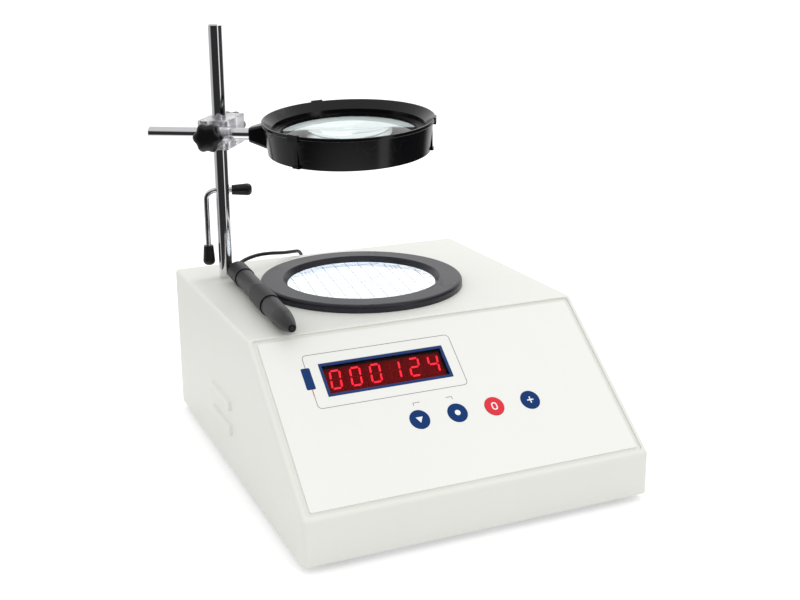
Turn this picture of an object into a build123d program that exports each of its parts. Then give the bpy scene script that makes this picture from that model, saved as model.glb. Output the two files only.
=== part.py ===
from build123d import *
import os
from math import atan2, cos, degrees, pi, radians, sin, tan

# Colony counter with a lit dish ring, a counter panel, a magnifier on a post and a marker pen.
# +Z is up, the front faces -Y, and every size is in millimetres.
# The parts are modelled about the centre of the housing's footprint, on the table.
# At the end all of them move together, so that the origin is the middle of the whole base.

# Housing
housing_width = 250.0
housing_depth = 300.0
housing_height = 113.5
top_depth = 195.0
lip_height = 30.0
cover_wall = 2.5
cover_edge_radius = 3.0
base_sheet = 1.5
rear_sheet = 2.0
sheet_clearance = 0.3
rear_flange_width = 9.0
rear_flange_thickness = 2.5
boss_radius = 5.0
boss_height = 16.0
boss_inset_x = 21.0
boss_inset_y = 16.0
screw_radius = 1.5
screw_head_radius = 2.9
screw_head_height = 1.8

# Feet
foot_radius = 7.0
foot_height = 5.0
foot_recess_radius = 3.4
foot_recess_depth = 2.6

# Side louvres
louvre_length = 52.0
louvre_height = 9.0
louvre_rise = 2.0
louvre_flare = 35.0
louvre_centre_back = 126.0
louvre_levels = (31.6, 50.0)
louvre_slot_height = 2.2
louvre_wall = 1.1

# Front panel, measured across from the middle and down the slope from its top edge
recess_depth = 1.2
recess_half_width = 121.5
recess_top = 1.3
recess_bottom = 130.8
recess_corner = 2.0
overlay_thickness = 1.0
overlay_half_width = 118.2
overlay_top = 4.2
overlay_bottom = 128.2
window_centre_x = -36.8
window_centre_down = 38.8
window_width = 87.0
window_height = 21.6
bezel_border = 1.9
bezel_thickness = 1.05
bezel_clearance = 0.2
pane_overlap = 0.8
pane_thickness = 2.0
key_first_x = -27.0
key_pitch = 27.75
key_down_slope = 79.2
key_radius = 7.0
key_clearance = 0.2
key_flange_width = 1.0
key_flange_thickness = 0.6
key_proud = 0.25
key_travel = 0.4
key_stem_radius = 2.2
key_names = ("key_down", "key_mark", "key_clear", "key_add")

# Board behind the panel
board_thickness = 1.6
board_gap = 9.8
board_left = -92.0
board_right = 72.0
board_top = 20.0
board_bottom = 93.0
board_corner_inset = 5.0
standoff_radius = 3.0
digit_count = 6
digit_pitch = 14.4
digit_package_width = 14.1
digit_package_height = 20.0
digit_package_depth = 8.0
switch_side = 6.0
switch_body_height = 3.6
switch_button_radius = 1.7
switch_button_height = 0.5

# Dish ring and what it holds
ring_x = -3.6
ring_back = 101.0
ring_radius = 77.6
ring_height = 6.0
ring_edge_radius = 2.6
ring_inner_top = 60.4
ring_opening = 57.3
spigot_radius = 65.5
spigot_depth = 6.0
spigot_clearance = 0.4
glass_thickness = 3.0
glass_top = 1.6
seat_clearance = 0.3
glass_radius = ring_opening - seat_clearance
diffuser_radius = 62.0
diffuser_thickness = 2.0
layer_gap = 0.1
retainer_radius = 58.5
retainer_thickness = 1.4
tray_wall = 1.5
tray_depth = 33.0
tray_flange_radius = 76.0
lamp_board_radius = 60.0
lamp_size = (3.5, 2.8, 1.9)
lamp_counts = (12, 24)
lamp_ring_radii = (22.0, 46.0)

# Post, set out from the housing's middle line and back edge
post_x = -93.5
post_back = 38.2
post_radius = 5.35
post_rise = 196.1
post_chamfer = 1.0
post_stud_radius = 4.0
post_stud_length = 16.0
post_hole_clearance = 0.2
washer_radius = 7.5
washer_thickness = 1.6
nut_across_flats = 13.0
nut_height = 6.5

# Clamp block and arm; the arm runs along clamp_azimuth, clockwise from +Y
clamp_azimuth = 123.0
rod_rise = 116.1
axis_offset = 14.5
block_width = 23.2
block_front = 24.4
block_back = 20.0
block_height = 22.0
block_shift = 2.4
sleeve_wall = 1.2
running_clearance = 0.05
rod_radius = 4.55
rod_left = -51.0
rod_right = 38.0
rod_chamfer = 0.7
arm_tilt = 5.3

# Knobs
knob_radius = 11.0
knob_lobes = 6
knob_lobe_radius = 3.3
knob_head_thickness = 11.0
knob_neck_length = 5.5
knob_neck_radius = 5.6
knob_dome_radius = 21.0
knob_face_gap = 1.0
stud_radius = 2.5
stud_hole_clearance = 0.15
stud_tip_gap = 0.3
stud_in_knob = 8.0

# Lens holder, measured up and down from the rod's axis
lens_distance = 103.8
rim_radius = 64.0
rim_thickness = 2.6
drum_top = 13.7
drum_bottom = -10.3
drum_radius_top = 62.4
drum_radius_bottom = 60.3
bevel_inner_radius = 56.6
bevel_depth = 6.2
lens_radius = 54.6
lens_sight_radius = 51.2
lens_edge_thickness = 3.2
lens_edge_top = 2.9
lens_face_radius = 226.0
lens_clearance = 0.3
lens_lip = 1.5
retainer_ring_inner = 51.6
retainer_ring_height = 3.0
hook_angles = (-116.0, 4.0, 124.0)
hook_width = 3.0
hook_rise = 1.5
socket_start = 28.6
socket_small = 11.0
socket_wide = 20.0
socket_tall = 20.4
socket_corner = 3.0

# Hanger through the post
hanger_rise = 69.7
hanger_azimuth = 106.4
hanger_rod_radius = 2.15
hanger_hole_clearance = 0.1
hanger_left = 12.7
hanger_bend_radius = 7.5
hanger_right = 22.8
hanger_low_gap = 10.4
cap_length = 15.6
cap_radius_small = 3.8
cap_radius_large = 4.7
cap_bore_clearance = 0.1
cap_wall_end = 3.0

# Marker pen, lying on the cover beside the ring; places run from its rear end
pen_rear = (-88.2, 51.9, 8.0)
pen_front = (-96.4, 206.5, 8.0)
pen_cap_length = 25.5
pen_groove = 1.0
pen_cap_radius = 8.0
pen_barrel_radius = 7.3
pen_collar_start = 64.5
pen_collar_end = 100.3
pen_collar_radius = 8.0
pen_groove_radius = 6.6
pen_nose_radius = 7.2
pen_taper_start = 128.0
pen_mouth_radius = 2.9
pen_mouth_recess = (2.2, 2.5)
pen_tip_radius = 1.5
pen_tip_travel = 1.5
pen_tip_proud = 1.0
pen_cap_round = 3.0
pen_nose_bulge = 0.8

# Pen cord, its route from the pen's rear end over the back edge, to a coil and a socket
cord_radius = 1.5
coil_x = 34.0
coil_behind = 52.0
coil_inner = 12.0
coil_outer = 21.0
coil_height = 6.0

# Rear fittings, across from the middle and up from the table
inlet_x = 78.0
inlet_level = 42.0
inlet_flange = (50.0, 24.0, 3.0)
inlet_cavity = (24.0, 16.4)
inlet_depth = 16.0
inlet_wall = 1.8
inlet_pin = (4.0, 2.0)
inlet_pin_spread = 7.0
switch_x = 30.0
rocker_size = (13.0, 19.0)
rocker_frame_border = 3.0
rocker_frame_proud = 1.8
rocker_frame_depth = 14.0
rocker_tilt = 8.0
rocker_clearance = 0.5
rocker_pin_radius = 1.2
fuse_x = 78.0
fuse_level = 78.0
fuse_radius = 6.2
fuse_cap_radius = 7.5
socket_x = -20.0
socket_level = 42.0
socket_bore = 3.3
socket_body_radius = 5.6
socket_nut_flats = 14.0
plug_pin_radius = 3.15
plug_pin_length = 14.0
plug_body_radius = 5.0
plug_body_length = 16.0
plug_boot_length = 14.0

# Power board on the base
power_board = (110.0, 70.0, 1.6)
power_board_centre = (-45.0, 95.0)
power_spacer_height = 7.0
power_spacer_radius = 3.0
transformer = (42.0, 36.0, 34.0)
capacitor_radius = 6.5
capacitor_height = 22.0

# Levels and places that follow
base_level = foot_height
top_level = base_level + housing_height
lip_level = base_level + lip_height
half_width = housing_width / 2
back_y = housing_depth / 2
front_y = -housing_depth / 2
brow_y = back_y - top_depth
slope_angle = degrees(atan2(top_level - lip_level, brow_y - front_y))
inner_top = top_level - cover_wall
ring_y = back_y - ring_back
post_y = back_y - post_back
rod_z = top_level + rod_rise
foot_spots = [
    (x, y)
    for x in (-(half_width - boss_inset_x), half_width - boss_inset_x)
    for y in (front_y + boss_inset_y, back_y - boss_inset_y)
]

slope_plane = Plane(
    origin=(0, brow_y, top_level),
    x_dir=(1, 0, 0),
    z_dir=(0, -sin(radians(slope_angle)), cos(radians(slope_angle))),
)
arm_heading = (sin(radians(clamp_azimuth)), cos(radians(clamp_azimuth)), 0)
post_plane = Plane(origin=(post_x, post_y, rod_z), x_dir=arm_heading, z_dir=(0, 0, 1))
rod_origin = post_plane.from_local_coords(Vector(0, -axis_offset, 0))
rod_frame = Location(Plane(origin=rod_origin, x_dir=arm_heading, z_dir=(0, 0, 1)))
tilt_frame = rod_frame * Location((0, 0, 0), (arm_tilt, 0, 0))
lens_frame = tilt_frame * Location((lens_distance, 0, 0))
hanger_heading = (sin(radians(hanger_azimuth)), cos(radians(hanger_azimuth)), 0)
hanger_frame = Location(
    Plane(origin=(post_x, post_y, top_level + hanger_rise), x_dir=hanger_heading, z_dir=(0, 0, 1))
)

nodes = {}


def add(name, shape):
    nodes[name] = shape


def ring_solid(outer, inner, height):
    return Cylinder(outer, height, align=(Align.CENTER, Align.CENTER, Align.MIN)) - Cylinder(
        inner, height, align=(Align.CENTER, Align.CENTER, Align.MIN)
    )


def rod(radius, height):
    return Cylinder(radius, height, align=(Align.CENTER, Align.CENTER, Align.MIN))


def block(width, depth, height):
    return Box(width, depth, height, align=(Align.CENTER, Align.CENTER, Align.MIN))


def turned(points):
    """A solid of revolution about Z from a closed outline of radius and height."""
    outline = Polyline(*[(r, 0, z) for r, z in points], close=True)
    return revolve(make_face(outline), Axis.Z)


def on_slope(x, down, depth):
    """A frame on the front slope, down from its top edge and depth below its surface."""
    return Location(slope_plane) * Location((x, -down, -depth))


def side_profile(inset):
    """The housing's side outline, drawn in by inset on every edge but the bottom and back."""
    half = radians(slope_angle) / 2
    brow = inset * tan(half)
    lip = inset * tan((pi / 2 - radians(slope_angle)) / 2)
    return [
        (back_y, base_level),
        (back_y, top_level - inset),
        (brow_y + brow, top_level - inset),
        (front_y + inset, lip_level - lip),
        (front_y + inset, base_level),
    ]


def profile_solid(inset):
    face = make_face(Polyline(*[(0, y, z) for y, z in side_profile(inset)], close=True))
    return extrude(face, amount=half_width - inset, dir=(1, 0, 0), both=True)


# Housing cover: folded shell with recess, louvres, bosses and a rear flange
def louvre_pad(level, side):
    """A pressed hood, open along its lower edge, on one side wall."""
    frame = Location(
        Plane(
            origin=(side * half_width, back_y - louvre_centre_back, base_level + level),
            x_dir=(0, side, 0),
            z_dir=(side, 0, 0),
        )
    )
    outer = extrude(SlotOverall(louvre_length, louvre_height), amount=louvre_rise, taper=louvre_flare)
    inner_rise = louvre_rise - louvre_wall + cover_wall
    inner = extrude(
        SlotOverall(louvre_length - 2 * louvre_wall, louvre_height - 2 * louvre_wall),
        amount=louvre_rise - louvre_wall,
        taper=louvre_flare,
    )
    throat = Pos(0, 0, -cover_wall) * extrude(
        SlotOverall(louvre_length - 2 * louvre_wall, louvre_height - 2 * louvre_wall), amount=cover_wall
    )
    slot = Pos(0, -louvre_height / 2, 0) * block(
        louvre_length - louvre_height - 2, 2 * louvre_slot_height, inner_rise
    )
    return frame * outer, frame * (inner + throat), frame * slot


def housing_cover():
    outer = profile_solid(0)
    rounded = outer.edges().filter_by(lambda e: e.center().Z > base_level + 1)
    rounded = rounded.filter_by(lambda e: e.center().Y < back_y - 1)
    outer = fillet(rounded, cover_edge_radius)
    shell = outer - profile_solid(cover_wall)
    recess = on_slope(0, (recess_top + recess_bottom) / 2, recess_depth) * extrude(
        RectangleRounded(2 * recess_half_width, recess_bottom - recess_top, recess_corner),
        amount=3 * recess_depth,
    )
    shell -= recess
    for level in louvre_levels:
        for side in (-1, 1):
            pad, hollow, slot = louvre_pad(level, side)
            shell = shell + pad - hollow - slot
    # Rear flange that the rear panel is screwed to
    flange_y = back_y - rear_sheet - sheet_clearance - rear_flange_thickness
    inside_width = housing_width - 2 * cover_wall
    inside_height = inner_top - base_level - base_sheet - sheet_clearance
    flange = Pos(0, flange_y + rear_flange_thickness / 2, inner_top - inside_height) * (
        block(inside_width, rear_flange_thickness, inside_height)
        - Pos(0, 0, rear_flange_width)
        * block(
            inside_width - 2 * rear_flange_width,
            rear_flange_thickness,
            inside_height - 2 * rear_flange_width,
        )
    )
    shell += flange
    # Bosses for the base and foot screws, each tied to its side wall by a rib
    boss_floor = base_level + base_sheet + sheet_clearance
    for x, y in foot_spots:
        side = 1 if x > 0 else -1
        wall_x = side * (half_width - cover_wall / 2)
        rib = Pos((x + wall_x) / 2, y, boss_floor) * block(abs(wall_x - x), 3.0, boss_height)
        shell += Pos(x, y, boss_floor) * rod(boss_radius, boss_height) + rib
        shell -= Pos(x, y, boss_floor) * rod(screw_radius, boss_height - 3)
    # Openings for the dish ring, the post and the panel
    shell -= Pos(ring_x, ring_y, inner_top - 5) * rod(spigot_radius + spigot_clearance, 20)
    shell -= Pos(post_x, post_y, inner_top - 5) * rod(post_stud_radius + post_hole_clearance, 20)
    pane = pane_size()
    shell -= on_slope(window_centre_x, window_centre_down, 10) * block(
        pane[0] + 2 * sheet_clearance, pane[1] + 2 * sheet_clearance, 20
    )
    for x in key_centres():
        shell -= on_slope(x, key_down_slope, 10) * rod(key_radius + key_flange_width + sheet_clearance, 20)
    for x, z in panel_screw_spots():
        shell -= Pos(x, back_y, z) * Rot(90, 0, 0) * rod(screw_radius, 12)
    return shell


def pane_size():
    return (window_width + 2 * pane_overlap, window_height + 2 * pane_overlap)


def key_centres():
    return [key_first_x + i * key_pitch for i in range(len(key_names))]


def panel_screw_spots():
    x = half_width - cover_wall - rear_flange_width / 2
    low = base_level + base_sheet + rear_flange_width / 2 + 2
    high = inner_top - rear_flange_width / 2
    return [(sx * x, z) for sx in (-1, 1) for z in (low, high)]


add("housing_cover", housing_cover())


# Base plate with holes for the foot screws, and feet under it
def base_plate():
    width = housing_width - 2 * cover_wall - 2 * sheet_clearance
    depth = housing_depth - cover_wall - rear_sheet - 3 * sheet_clearance
    middle = (front_y + cover_wall + sheet_clearance + depth / 2, base_level)
    plate = Pos(0, middle[0], middle[1]) * extrude(RectangleRounded(width, depth, 2), amount=base_sheet)
    for x, y in foot_spots:
        plate -= Pos(x, y, base_level) * rod(screw_radius + 0.2, base_sheet)
    for i in range(-3, 4):
        plate -= Pos(60 + i * 8, -20, base_level) * extrude(SlotOverall(40, 3, rotation=90), amount=base_sheet)
    return plate


def foot():
    body = turned([(0, 0), (foot_radius, 0), (foot_radius - 0.8, foot_height), (0, foot_height)])
    body = fillet(body.edges().sort_by(Axis.Z)[0], 0.8)
    recess = rod(foot_recess_radius, foot_recess_depth)
    return body - recess - rod(screw_radius + 0.2, foot_height)


def screw(length, head_radius=screw_head_radius, head_height=screw_head_height):
    """A pan head screw with its head below z=0 and its shank up from there."""
    head = Pos(0, 0, -head_height) * rod(head_radius, head_height)
    head = fillet(head.edges().sort_by(Axis.Z)[0], head_height * 0.45)
    cross = Pos(0, 0, -head_height) * (block(2.6, 0.6, 0.9) + block(0.6, 2.6, 0.9))
    return head - cross + rod(screw_radius - 0.05, length)


add("base_plate", base_plate())
add("feet", Compound([Pos(x, y, 0) * foot() for x, y in foot_spots]))
foot_screw_length = foot_height - foot_recess_depth + base_sheet + sheet_clearance + boss_height - 4
add("foot_screws", Compound([Pos(x, y, foot_recess_depth) * screw(foot_screw_length) for x, y in foot_spots]))


# Rear panel and its fittings
rear_outer = back_y - sheet_clearance
rear_inner = rear_outer - rear_sheet


def facing_back(x, level, y=rear_outer):
    """A frame on the rear panel, with its z pointing back, out of the housing."""
    return Location(Plane(origin=(x, y, level), x_dir=(-1, 0, 0), z_dir=(0, 1, 0)))


def rear_panel():
    width = housing_width - 2 * cover_wall - 2 * sheet_clearance
    low = base_level + sheet_clearance
    height = inner_top - sheet_clearance - low
    panel = Pos(0, rear_inner + rear_sheet / 2, low) * block(width, rear_sheet, height)
    cut = 30
    body = inlet_body_size()
    panel -= facing_back(inlet_x, inlet_level, rear_inner - 5) * block(
        body[0] + 2 * sheet_clearance, body[1] + 2 * sheet_clearance, cut
    )
    frame = rocker_body_size()
    panel -= facing_back(switch_x, inlet_level, rear_inner - 5) * block(
        frame[0] + 2 * sheet_clearance, frame[1] + 2 * sheet_clearance, cut
    )
    panel -= facing_back(fuse_x, fuse_level, rear_inner - 5) * rod(fuse_radius + sheet_clearance, cut)
    panel -= facing_back(socket_x, socket_level, rear_inner - 5) * rod(
        socket_body_radius + sheet_clearance, cut
    )
    for x, z in panel_screw_spots():
        panel -= facing_back(x, z, rear_inner - 5) * rod(screw_radius + 0.2, cut)
    for row in range(5):
        for col in range(9):
            spot = facing_back(-70 + col * 7, 76 + row * 6, rear_inner - 5)
            panel -= spot * extrude(SlotOverall(5, 2), amount=cut)
    return panel


def inlet_body_size():
    return (inlet_cavity[0] + 2 * inlet_wall, inlet_cavity[1] + 2 * inlet_wall)


def rocker_body_size():
    return (
        rocker_size[0] + 2 * rocker_clearance + 2 * 1.2,
        rocker_size[1] + 2 * rocker_clearance + 2 * 1.2,
    )


def power_inlet():
    width, height, thick = inlet_flange
    flange = extrude(RectangleRounded(width, height, 4), amount=thick)
    body_size = inlet_body_size()
    body = Pos(0, 0, -inlet_depth - inlet_wall) * block(*body_size, inlet_depth + inlet_wall)
    body = chamfer(body.edges().filter_by(Axis.Z).group_by(Axis.Y)[-1], 4)
    cavity = Pos(0, 0, -inlet_depth) * block(*inlet_cavity, inlet_depth + thick)
    cavity = chamfer(cavity.edges().filter_by(Axis.Z).group_by(Axis.Y)[-1], 4)
    shell = flange + body - cavity
    for side in (-1, 1):
        shell -= Pos(side * (width / 2 - 5), 0, 0) * rod(1.7, thick)
    return facing_back(inlet_x, inlet_level) * shell


def inlet_pins():
    """Three flat pins standing up from the cavity's floor, the earth pin above."""
    pins = []
    for x, y in ((-inlet_pin_spread, -2.0), (inlet_pin_spread, -2.0), (0, 2.0)):
        pin = Pos(x, y, -inlet_depth) * block(inlet_pin[1], inlet_pin[0], inlet_depth - 2)
        pins.append(facing_back(inlet_x, inlet_level) * pin)
    return Compound(pins)


def rocker_frame():
    body = rocker_body_size()
    flange = extrude(
        RectangleRounded(body[0] + rocker_frame_border, body[1] + rocker_frame_border, 1.5),
        amount=rocker_frame_proud,
    )
    shell = Pos(0, 0, -rocker_frame_depth) * block(*body, rocker_frame_depth)
    well = Pos(0, 0, -rocker_frame_depth + 2) * block(
        rocker_size[0] + 2 * rocker_clearance, rocker_size[1] + 2 * rocker_clearance, 30
    )
    pivot = Rot(0, 90, 0) * Cylinder(rocker_pin_radius + 0.1, body[0] + 2)
    return facing_back(switch_x, inlet_level) * (flange + shell - well - Pos(0, 0, -4) * pivot)


def rocker():
    """A shallow V shaped rocker on its pin, drawn level and then tipped to its off side."""
    half = rocker_size[1] / 2
    outline = Polyline(
        (-half, 4.4), (0, 2.9), (half, 4.4), (half - 1.2, -1.5), (0, -3.5), (-half + 1.2, -1.5), close=True
    )
    face = Plane.YZ * make_face(outline)
    body = extrude(face, amount=rocker_size[0] / 2, both=True)
    pin = Rot(0, 90, 0) * Cylinder(rocker_pin_radius, rocker_size[0] + 2 * rocker_clearance + 1.6)
    tipped = Rot(rocker_tilt, 0, 0) * (body + pin)
    return facing_back(switch_x, inlet_level) * Pos(0, 0, -4) * tipped


def fuse_holder():
    body = Pos(0, 0, -24) * rod(fuse_radius, 24)
    flange = rod(fuse_cap_radius + 1.5, 1.6)
    cap = Pos(0, 0, 1.6) * rod(fuse_cap_radius, 7)
    cap = fillet(cap.edges().sort_by(Axis.Z)[-1], 1.2)
    slot = Pos(0, 0, 7.4) * block(9, 1.4, 3)
    return facing_back(fuse_x, fuse_level) * (body + flange + cap - slot)


def pen_socket():
    """A panel jack: threaded body through the panel, with a hexagonal nut outside."""
    nut = extrude(RegularPolygon(socket_nut_flats / 2, 6, major_radius=False), amount=2.4)
    body = Pos(0, 0, -17) * rod(socket_body_radius, 17 + 3.6)
    bore = Pos(0, 0, -15.5) * rod(socket_bore, 30)
    return facing_back(socket_x, socket_level) * (nut + body - bore)


def pen_plug():
    """The cord's plug: a pin in the socket, a round body and a tapered boot."""
    start = 3.7
    pin = Pos(0, 0, start - plug_pin_length) * rod(plug_pin_radius, plug_pin_length)
    body = Pos(0, 0, start) * rod(plug_body_radius, plug_body_length)
    body = fillet(body.edges().sort_by(Axis.Z)[-1], 0.8)
    boot = Pos(0, 0, start + plug_body_length) * Cone(
        plug_body_radius - 1.4, cord_radius + 0.8, plug_boot_length, align=(Align.CENTER, Align.CENTER, Align.MIN)
    )
    return facing_back(socket_x, socket_level) * (pin + body + boot)


add("rear_panel", rear_panel())
add(
    "panel_screws",
    Compound([facing_back(x, z) * Rot(180, 0, 0) * screw(6) for x, z in panel_screw_spots()]),
)
add("power_inlet", power_inlet())
add("inlet_pins", inlet_pins())
add("rocker_frame", rocker_frame())
add("rocker", rocker())
add("fuse_holder", fuse_holder())
add("pen_socket", pen_socket())
add("pen_plug", pen_plug())


# Front overlay, bezel, window and keys
overlay_level = recess_depth
overlay_face = recess_depth - overlay_thickness


def panel_overlay():
    middle = (overlay_top + overlay_bottom) / 2
    sheet = on_slope(0, middle, overlay_level) * extrude(
        RectangleRounded(2 * overlay_half_width, overlay_bottom - overlay_top, 1.2), amount=overlay_thickness
    )
    bezel = bezel_size()
    sheet -= on_slope(window_centre_x, window_centre_down, 5) * block(
        bezel[0] + 2 * bezel_clearance, bezel[1] + 2 * bezel_clearance, 10
    )
    for x in key_centres():
        sheet -= on_slope(x, key_down_slope, 5) * rod(key_radius + key_clearance, 10)
    return sheet


def bezel_size():
    return (window_width + 2 * bezel_border, window_height + 2 * bezel_border)


def display_bezel():
    ring = extrude(RectangleRounded(*bezel_size(), 1.2), amount=bezel_thickness) - block(
        window_width, window_height, 5
    )
    return on_slope(window_centre_x, window_centre_down, overlay_level) * ring


def display_window():
    return on_slope(
        window_centre_x, window_centre_down, overlay_level + layer_gap + pane_thickness
    ) * block(*pane_size(), pane_thickness)


def key(x):
    """A round key: printed disc, hidden flange and a stem down to its switch."""
    top = overlay_face - key_proud
    flange_top = overlay_level + layer_gap
    stem_end = switch_top() - 0.5
    disc = on_slope(x, key_down_slope, flange_top) * rod(key_radius, flange_top - top)
    disc = fillet(disc.edges().filter_by(GeomType.CIRCLE).sort_by(Axis.Z)[-1], 0.2)
    flange_bottom = flange_top + key_flange_thickness
    flange = on_slope(x, key_down_slope, flange_bottom) * rod(
        key_radius + key_flange_width, key_flange_thickness
    )
    stem = on_slope(x, key_down_slope, stem_end) * rod(key_stem_radius, stem_end - flange_bottom)
    return disc + flange + stem


def switch_top():
    """Depth of the switch buttons' tops below the slope's surface."""
    return cover_wall + board_gap - switch_body_height - switch_button_height


add("panel_overlay", panel_overlay())
add("display_bezel", display_bezel())
add("display_window", display_window())
for name, x in zip(key_names, key_centres()):
    add(name, key(x))


# Board behind the panel, hung on standoffs from the slope
board_face = cover_wall + board_gap


def board_screw_spots():
    xs = (board_left + board_corner_inset, board_right - board_corner_inset)
    downs = (board_top + board_corner_inset, board_bottom - board_corner_inset)
    return [(x, down) for x in xs for down in downs]


def panel_board():
    width = board_right - board_left
    height = board_bottom - board_top
    centre = ((board_left + board_right) / 2, (board_top + board_bottom) / 2)
    board = on_slope(*centre, board_face + board_thickness) * block(width, height, board_thickness)
    for x, down in board_screw_spots():
        board -= on_slope(x, down, board_face + 5) * rod(screw_radius + 0.1, 10)
    return board


def digit_modules():
    modules = []
    for i in range(digit_count):
        x = window_centre_x + (i - (digit_count - 1) / 2) * digit_pitch
        module = on_slope(x, window_centre_down, board_face) * block(
            digit_package_width, digit_package_height, digit_package_depth
        )
        modules.append(module)
    return Compound(modules)


def key_switches():
    switches = []
    for x in key_centres():
        place = on_slope(x, key_down_slope, board_face)
        body = block(switch_side, switch_side, switch_body_height)
        button = Pos(0, 0, switch_body_height) * rod(switch_button_radius, switch_button_height)
        switches.append(place * (body + button))
    return Compound(switches)


def board_standoffs():
    pillars = []
    for x, down in board_screw_spots():
        pillar = on_slope(x, down, board_face) * rod(standoff_radius, board_gap)
        pillars.append(pillar - on_slope(x, down, board_face) * rod(screw_radius, 5))
    return Compound(pillars)


add("panel_board", panel_board())
add("digit_modules", digit_modules())
add("key_switches", key_switches())
add("board_standoffs", board_standoffs())
add(
    "board_screws",
    Compound([on_slope(x, down, board_face + board_thickness) * screw(5) for x, down in board_screw_spots()]),
)


# Dish ring, grid glass, diffuser, retainer, light tray, light board and lamps
def at_ring(level):
    return Pos(ring_x, ring_y, top_level + level)


def dish_ring():
    seat = diffuser_radius + seat_clearance
    body = turned(
        [
            (seat, -spigot_depth),
            (spigot_radius, -spigot_depth),
            (spigot_radius, 0),
            (ring_radius, 0),
            (ring_radius, ring_height),
            (ring_inner_top, ring_height),
            (ring_opening, glass_top + layer_gap),
            (ring_opening, glass_bottom),
            (seat, glass_bottom),
        ]
    )
    edge = body.edges().filter_by(GeomType.CIRCLE).filter_by(lambda e: abs(e.radius - ring_radius) < 0.01)
    body = fillet(edge.sort_by(Axis.Z)[-1], ring_edge_radius)
    inner = body.edges().filter_by(GeomType.CIRCLE).filter_by(lambda e: abs(e.radius - ring_inner_top) < 0.01)
    body = fillet(inner, 0.8)
    return at_ring(0) * body


def light_tray():
    inner = spigot_radius + spigot_clearance + 0.4
    outer = inner + tray_wall
    top = -cover_wall
    floor = top - tray_depth
    tray = turned(
        [
            (0, floor - tray_wall),
            (outer, floor - tray_wall),
            (outer, top - tray_wall),
            (tray_flange_radius, top - tray_wall),
            (tray_flange_radius, top),
            (inner, top),
            (inner, floor),
            (0, floor),
        ]
    )
    return at_ring(0) * tray


def lamps(floor):
    chips = []
    for count, radius in zip(lamp_counts, lamp_ring_radii):
        for i in range(count):
            chips.append(Rot(0, 0, 360 * i / count) * Pos(radius, 0, floor) * block(*lamp_size))
    return Compound([at_ring(0) * chip for chip in chips])


glass_bottom = glass_top - glass_thickness
diffuser_top = glass_bottom - layer_gap
retainer_top = diffuser_top - diffuser_thickness - layer_gap
tray_floor = -cover_wall - tray_depth
lamp_board_top = tray_floor + board_thickness

add("dish_ring", dish_ring())
add("grid_glass", at_ring(glass_bottom) * rod(glass_radius, glass_thickness))
add("diffuser", at_ring(diffuser_top - diffuser_thickness) * rod(diffuser_radius, diffuser_thickness))
add(
    "glass_retainer",
    at_ring(retainer_top - retainer_thickness)
    * ring_solid(diffuser_radius + seat_clearance, retainer_radius, retainer_thickness),
)
add("light_tray", light_tray())
add("lamp_board", at_ring(tray_floor) * rod(lamp_board_radius, board_thickness))
add("lamps", lamps(lamp_board_top))


# Power board on the base plate
power_floor = base_level + base_sheet
power_y = back_y - power_board_centre[1]


def power_spots():
    dx = power_board[0] / 2 - 5
    dy = power_board[1] / 2 - 5
    return [(power_board_centre[0] + sx * dx, power_y + sy * dy) for sx in (-1, 1) for sy in (-1, 1)]


def power_parts():
    level = power_floor + power_spacer_height + power_board[2]
    x = power_board_centre[0]
    core = Pos(x - 28, power_y, level) * block(*transformer)
    sink = Pos(x + 40, power_y, level) * (block(18, 52, 24) - Pos(0, 0, 4) * block(3, 52, 20))
    cans = [
        Pos(x + 12, power_y + dy, level) * rod(capacitor_radius, capacitor_height) for dy in (-18, 0, 18)
    ]
    return Compound([core, sink, *cans])


add("power_board", Pos(power_board_centre[0], power_y, power_floor + power_spacer_height) * block(*power_board))
add("power_parts", power_parts())
add(
    "power_spacers",
    Compound([Pos(x, y, power_floor) * rod(power_spacer_radius, power_spacer_height) for x, y in power_spots()]),
)


# Post with its stud, washer and nut
def post():
    bar = Pos(post_x, post_y, top_level) * chamfer(
        rod(post_radius, post_rise).edges().sort_by(Axis.Z)[-1], post_chamfer
    )
    stud = Pos(post_x, post_y, top_level - post_stud_length) * rod(post_stud_radius, post_stud_length)
    hole = hanger_frame * Rot(0, 90, 0) * Cylinder(hanger_rod_radius + hanger_hole_clearance, 4 * post_radius)
    return bar + stud - hole


def post_nut():
    nut = extrude(RegularPolygon(nut_across_flats / 2, 6, major_radius=False), amount=nut_height)
    nut -= rod(post_stud_radius, nut_height)
    return Pos(post_x, post_y, inner_top - washer_thickness - nut_height) * nut


add("post", post())
add(
    "post_washer",
    Pos(post_x, post_y, inner_top - washer_thickness)
    * ring_solid(washer_radius, post_stud_radius + post_hole_clearance, washer_thickness),
)
add("post_nut", post_nut())


# Clamp block with its two sleeves
post_sleeve_outer = post_radius + running_clearance + sleeve_wall
rod_sleeve_outer = rod_radius + running_clearance + sleeve_wall
along_rod = Rot(0, 90, 0)


def clamp_block():
    depth = block_front + block_back
    body = Pos(block_shift, (block_back - block_front) / 2, 0) * Box(block_width, depth, block_height)
    body = chamfer(body.edges(), 0.5)
    body -= Cylinder(post_sleeve_outer + running_clearance, block_height + 2)
    body -= Pos(0, -axis_offset, 0) * along_rod * Cylinder(
        rod_sleeve_outer + running_clearance, block_width + 10
    )
    hole = stud_radius + stud_hole_clearance
    front = Pos(block_shift, -axis_offset, 0) * Rot(90, 0, 0) * rod(hole, block_front)
    back = Pos(0, 0, 0) * Rot(-90, 0, 0) * rod(hole, block_back + 5)
    return Location(post_plane) * (body - front - back)


def post_sleeve():
    sleeve = ring_solid(post_sleeve_outer, post_radius + running_clearance, block_height)
    return Location(post_plane) * Pos(0, 0, -block_height / 2) * sleeve


def rod_sleeve():
    sleeve = ring_solid(rod_sleeve_outer, rod_radius + running_clearance, block_width)
    return rod_frame * Pos(block_shift - block_width / 2, 0, 0) * along_rod * sleeve


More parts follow.
